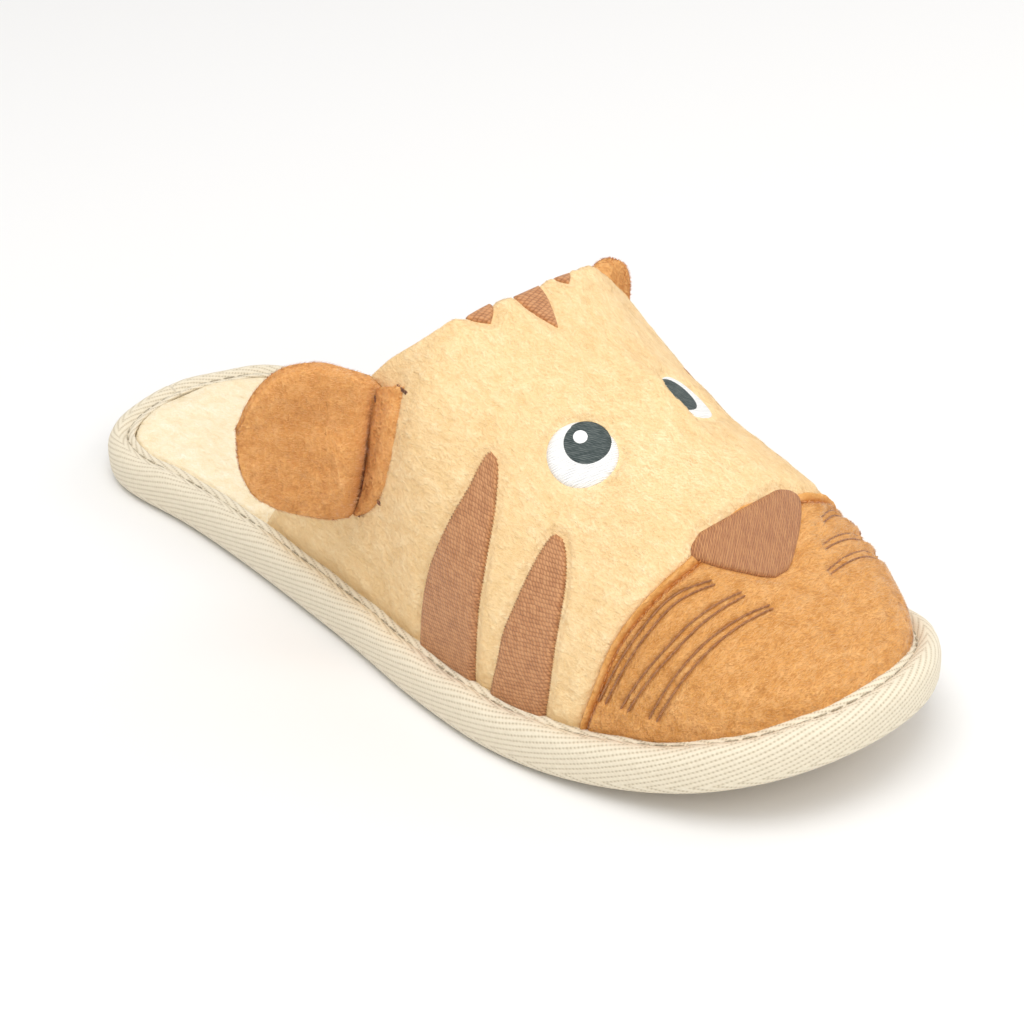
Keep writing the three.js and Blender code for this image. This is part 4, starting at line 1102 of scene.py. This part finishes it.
eye_satin = embroidery("white_satin", (0.72, 0.72, 0.71), (0.92, 0.92, 0.91), (0.98, 0.98, 0.97),
                       pitch=0.5, stitch=4, slant=0.2)
pupil_satin = embroidery("grey_satin", (0.025, 0.035, 0.037), (0.065, 0.085, 0.085), (0.15, 0.175, 0.17),
                         pitch=0.45, stitch=0.7, slant=0.5, roughness=0.75)
wire(shader_of(pupil_satin), {"Sheen Weight": 0, "Specular IOR Level": 0.2})
glint_satin = embroidery("glint_satin", (0.6, 0.62, 0.6), (0.85, 0.86, 0.84), (1, 1, 1),
                         pitch=0.5, stitch=2, slant=0.2)
for hand, sunk, glint_in, glint_up in (("right", 0, 1.9, 2.9), ("left", 0.65, 5.1, 1.7)):
    drawing, inward = eye_drawings[hand]
    patch(f"eye_white_satin_{hand}", disc_places(drawing, EYE, 64, 14), eye_satin,
          f"eye_white_{hand}", base=0.15 - sunk, closed=True)
    patch(f"pupil_satin_{hand}", disc_places(drawing, PUPIL, 56, 10, inward * 2.1, 1.1), pupil_satin,
          f"pupil_{hand}", base=0.78 - sunk, crown=0.4, closed=True)
    y, angle = disc_places(drawing, GLINT, 28, 6, inward * glint_in, glint_up)
    dome = 1.16 - sunk + 0.25 * np.sqrt(np.linspace(1, 0, len(y)))[:, None]
    glint = shell(f"glint_{hand}", on_vamp(y, angle, dome), on_vamp(y, angle, 0.95 - sunk), glint_satin,
                  np.zeros((y.size, 2)))
    tidy_normals(glint)
    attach(glint, "root")

whisker_thread = thread_material("whisker_thread", (0.25, 0.095, 0.028), (0.42, 0.185, 0.065))
for number, (column, top_angle) in enumerate(whisker_tops, 1):
    for hand, low in (("right", 0), ("left", 0.35)):
        seams = []
        for offset, height in ((-WHISKER_GAP, 0.6), (WHISKER_GAP, 0.5)):
            y, angle = whisker_places(column, top_angle, offset)
            seams.append(on_vamp(y, angle if hand == "right" else math.pi - angle, height - low))
        piece = sew(f"whisker_stitches_{number}_{hand}", seams, spacing=1.2, length=2.0, thickness=0.42,
                    thread=whisker_thread)
        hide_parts(f"whisker_{number}_{hand}")

seam_thread = thread_material("seam_thread", (0.4, 0.13, 0.02), (0.66, 0.27, 0.06))
over = np.radians(np.linspace(4, 176, 420))
rim_stitches = sew("rim_stitches", [on_vamp(seam_y(over) - 1.7, over, 0.3)], spacing=2.4, length=2.2,
                   thickness=0.36, thread=seam_thread)

# Ears: padded orange flaps, each turned outward from a tab that is tacked to the vamp.
# Both are shaped on the near side; the far one is mirrored and hangs lower.
EAR_ROWS, TAB_ROWS, FLAP_ROWS, TAB_FOOT, TAB_HEAD = 60, 14, 34, 18.5, 41
tab_rows = [  # share of the way up, front edge and fold along the vamp
    (0, 1.185, 1.205), (0.1, 1.14, 1.2), (0.3, 1.09, 1.185), (0.65, 1.055, 1.16), (1, 1.05, 1.138),
]
flap_rows = [  # share of the way out, lower edge and upper edge as shares of the fold
    (0.07, -0.015, 1.07), (0.22, -0.026, 1.115), (0.43, 0, 1.17), (0.67, 0.07, 1.15), (0.81, 0.16, 1.07),
    (0.91, 0.3, 0.95), (0.97, 0.45, 0.82), (1, 0.6, 0.68),
]
tack_places = [  # share over the tab, height, row, the way of half a tack
    (0.9, 2.4, 56, (0.2, 0.5, 0.9)), (0.03, 1.2, 58, (0, 1.1, 0.3)),
    (0.85, 1.4, 1, (0.2, 0.9, 0.5)), (0.03, 1.2, 12, (0, 0.5, 0.2)),
]
tab_front, tab_fold = through(tab_rows, 1), through(tab_rows, 2)
flap_low, flap_high = through(flap_rows, 1), through(flap_rows, 2)
ear_plush = plush("ear_plush", (0.68, 0.31, 0.1), (0.8, 0.41, 0.14), (0.9, 0.51, 0.21),
                  comb=(1, 0.5, 0.5), relief=1.0)
# The far ear's fibres are a lighter copy of the near ear's tones: painted light on its front.
ear_tones = {
    "right": fibre_materials("ear_fibre", (0.72, 0.33, 0.1), (0.81, 0.41, 0.14), (0.89, 0.5, 0.21)),
    "left": fibre_materials("far_ear_painted_light_fibre", (0.76, 0.38, 0.13), (0.85, 0.47, 0.19), (0.92, 0.56, 0.26)),
}
tack_thread = thread_material("tack_thread", (0.1, 0.04, 0.02), (0.3, 0.12, 0.05))
ups = np.linspace(0, 1, EAR_ROWS)


def on_tab(share, height):
    """A line up the tab: share runs from its front edge to the fold."""
    front, fold = tab_front(ups), tab_fold(ups)
    angle = np.radians(TAB_FOOT + (TAB_HEAD - TAB_FOOT) * ups) + np.radians(2.6) * (1 - share) * ups ** 2
    return on_vamp(TOE_Y + VAMP * (front + (fold - front) * share), angle, height)


for hand, side, reach, sweep, lift, rough, density in (
        ("right", 1, 28, 31.5, 8.8, 1, 9.0), ("left", -1, 27, 26, -12, 0.3, 4.0)):
    low_end, high_end = on_tab(1, 1.1)[[0, -1]]
    fold_length = np.linalg.norm(high_end - low_end)
    up = (high_end - low_end) / fold_length
    swing, rise = math.radians(sweep), math.radians(lift)
    outward = np.array([-math.cos(swing) * math.cos(rise), math.sin(swing) * math.cos(rise), math.sin(rise)])
    facing = np.cross(up, outward)
    facing /= np.linalg.norm(facing)
    # crease sets how much painted shade the fold between tab and flap gets: deep at the near ear's lower
    # fold, little on the far ear.
    crease = (1 - 0.85 * smooth(ups, 0.35, 0.75)) if hand == "right" else 0.06 + 0 * ups
    outer_rows, inner_rows, shades = [], [], []
    for share in np.linspace(0, 0.92, TAB_ROWS):
        edge = math.sqrt(min(share / 0.25, 1)) * (1 - 0.7 * smooth(share, 0.6, 0.92) * crease)
        outer_rows.append(on_tab(share, 0.6 + 1.8 * edge))
        inner_rows.append(on_tab(share, 0.35))
        shades.append(smooth(share, 0.72, 0.92) * crease)
    for share in np.sin(np.linspace(0.045, 1, FLAP_ROWS) * np.pi / 2):
        along = (flap_low(share) + (flap_high(share) - flap_low(share)) * ups) * fold_length
        points = low_end + along[:, None] * up + outward * (share * reach)
        fill = math.sin(math.pi * min(share, 0.985)) ** 0.5
        half = (2.4 + 4.8 * fill * np.sqrt(np.maximum(1 - (2 * ups - 1) ** 4, 0))) / 2
        cup = share ** 2 * (2 * ups - 1) ** 2
        overhang = 4.2 * math.exp(-((share - 0.17) / 0.17) ** 2)
        overhang = overhang * np.sin(np.pi * np.clip(ups, 0.02, 0.98)) ** 0.7
        overhang *= 1 - 0.6 * smooth(ups, 0.5, 0.85)
        hollow = 1.2 * np.exp(-((ups - 0.72 + 0.12 * share) / 0.1) ** 2)
        hollow *= smooth(share, 0.1, 0.3) * (1 - smooth(share, 0.5, 0.85))
        # Painted shade: darker in the fold's crease and in the hollow near the flap's top.
        shades.append(0.85 * math.exp(-(share / 0.08) ** 2) * crease + 0.12 * hollow)
        outer_rows.append(points + facing * (half + cup + overhang - hollow)[:, None])
        inner_rows.append(points - facing * (half - cup)[:, None])
    outer, inner, shades = np.array(outer_rows), np.array(inner_rows), np.array(shades)
    grain = ripple(outer.reshape(-1, 3), 6, 12) * 0.5 + ripple(outer.reshape(-1, 3), 2.2, 5) * 0.2
    grain = rough * grain.reshape(outer.shape[:2])[..., None] * facing
    flap = shell(f"ear_flap_{hand}", (outer + grain) * (side, 1, 1), (inner + grain * 0.6) * (side, 1, 1),
                 ear_plush)
    mark(flap, "nap", 1 - 0.8 * shades, np.where(np.arange(len(outer)) > TAB_ROWS, 0.9, 0)[:, None])
    mark(flap, "painted_shade", shades)
    tidy_normals(flap)
    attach(flap, "root")
    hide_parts(f"ear_{hand}")
    grow_nap(flap, f"ear_nap_{hand}", ear_tones[hand], (0.73 * side, -0.68, 0.15), density,
             length=1.7, width=0.25, lift=0.6, ruffle=0.85)
    tacks = []
    for share, height, row, tip in tack_places:
        spot = on_tab(share, height)[row]
        for shift in (-0.25, 0.25):
            bar = np.array([spot - tip, spot, spot + tip]) + (0, 0, shift)
            tacks.append(bar * (side, 1, 1))
    tack = sew(f"ear_tacks_{hand}", tacks, spacing=1.1, length=1.3, thickness=0.5, thread=tack_thread)
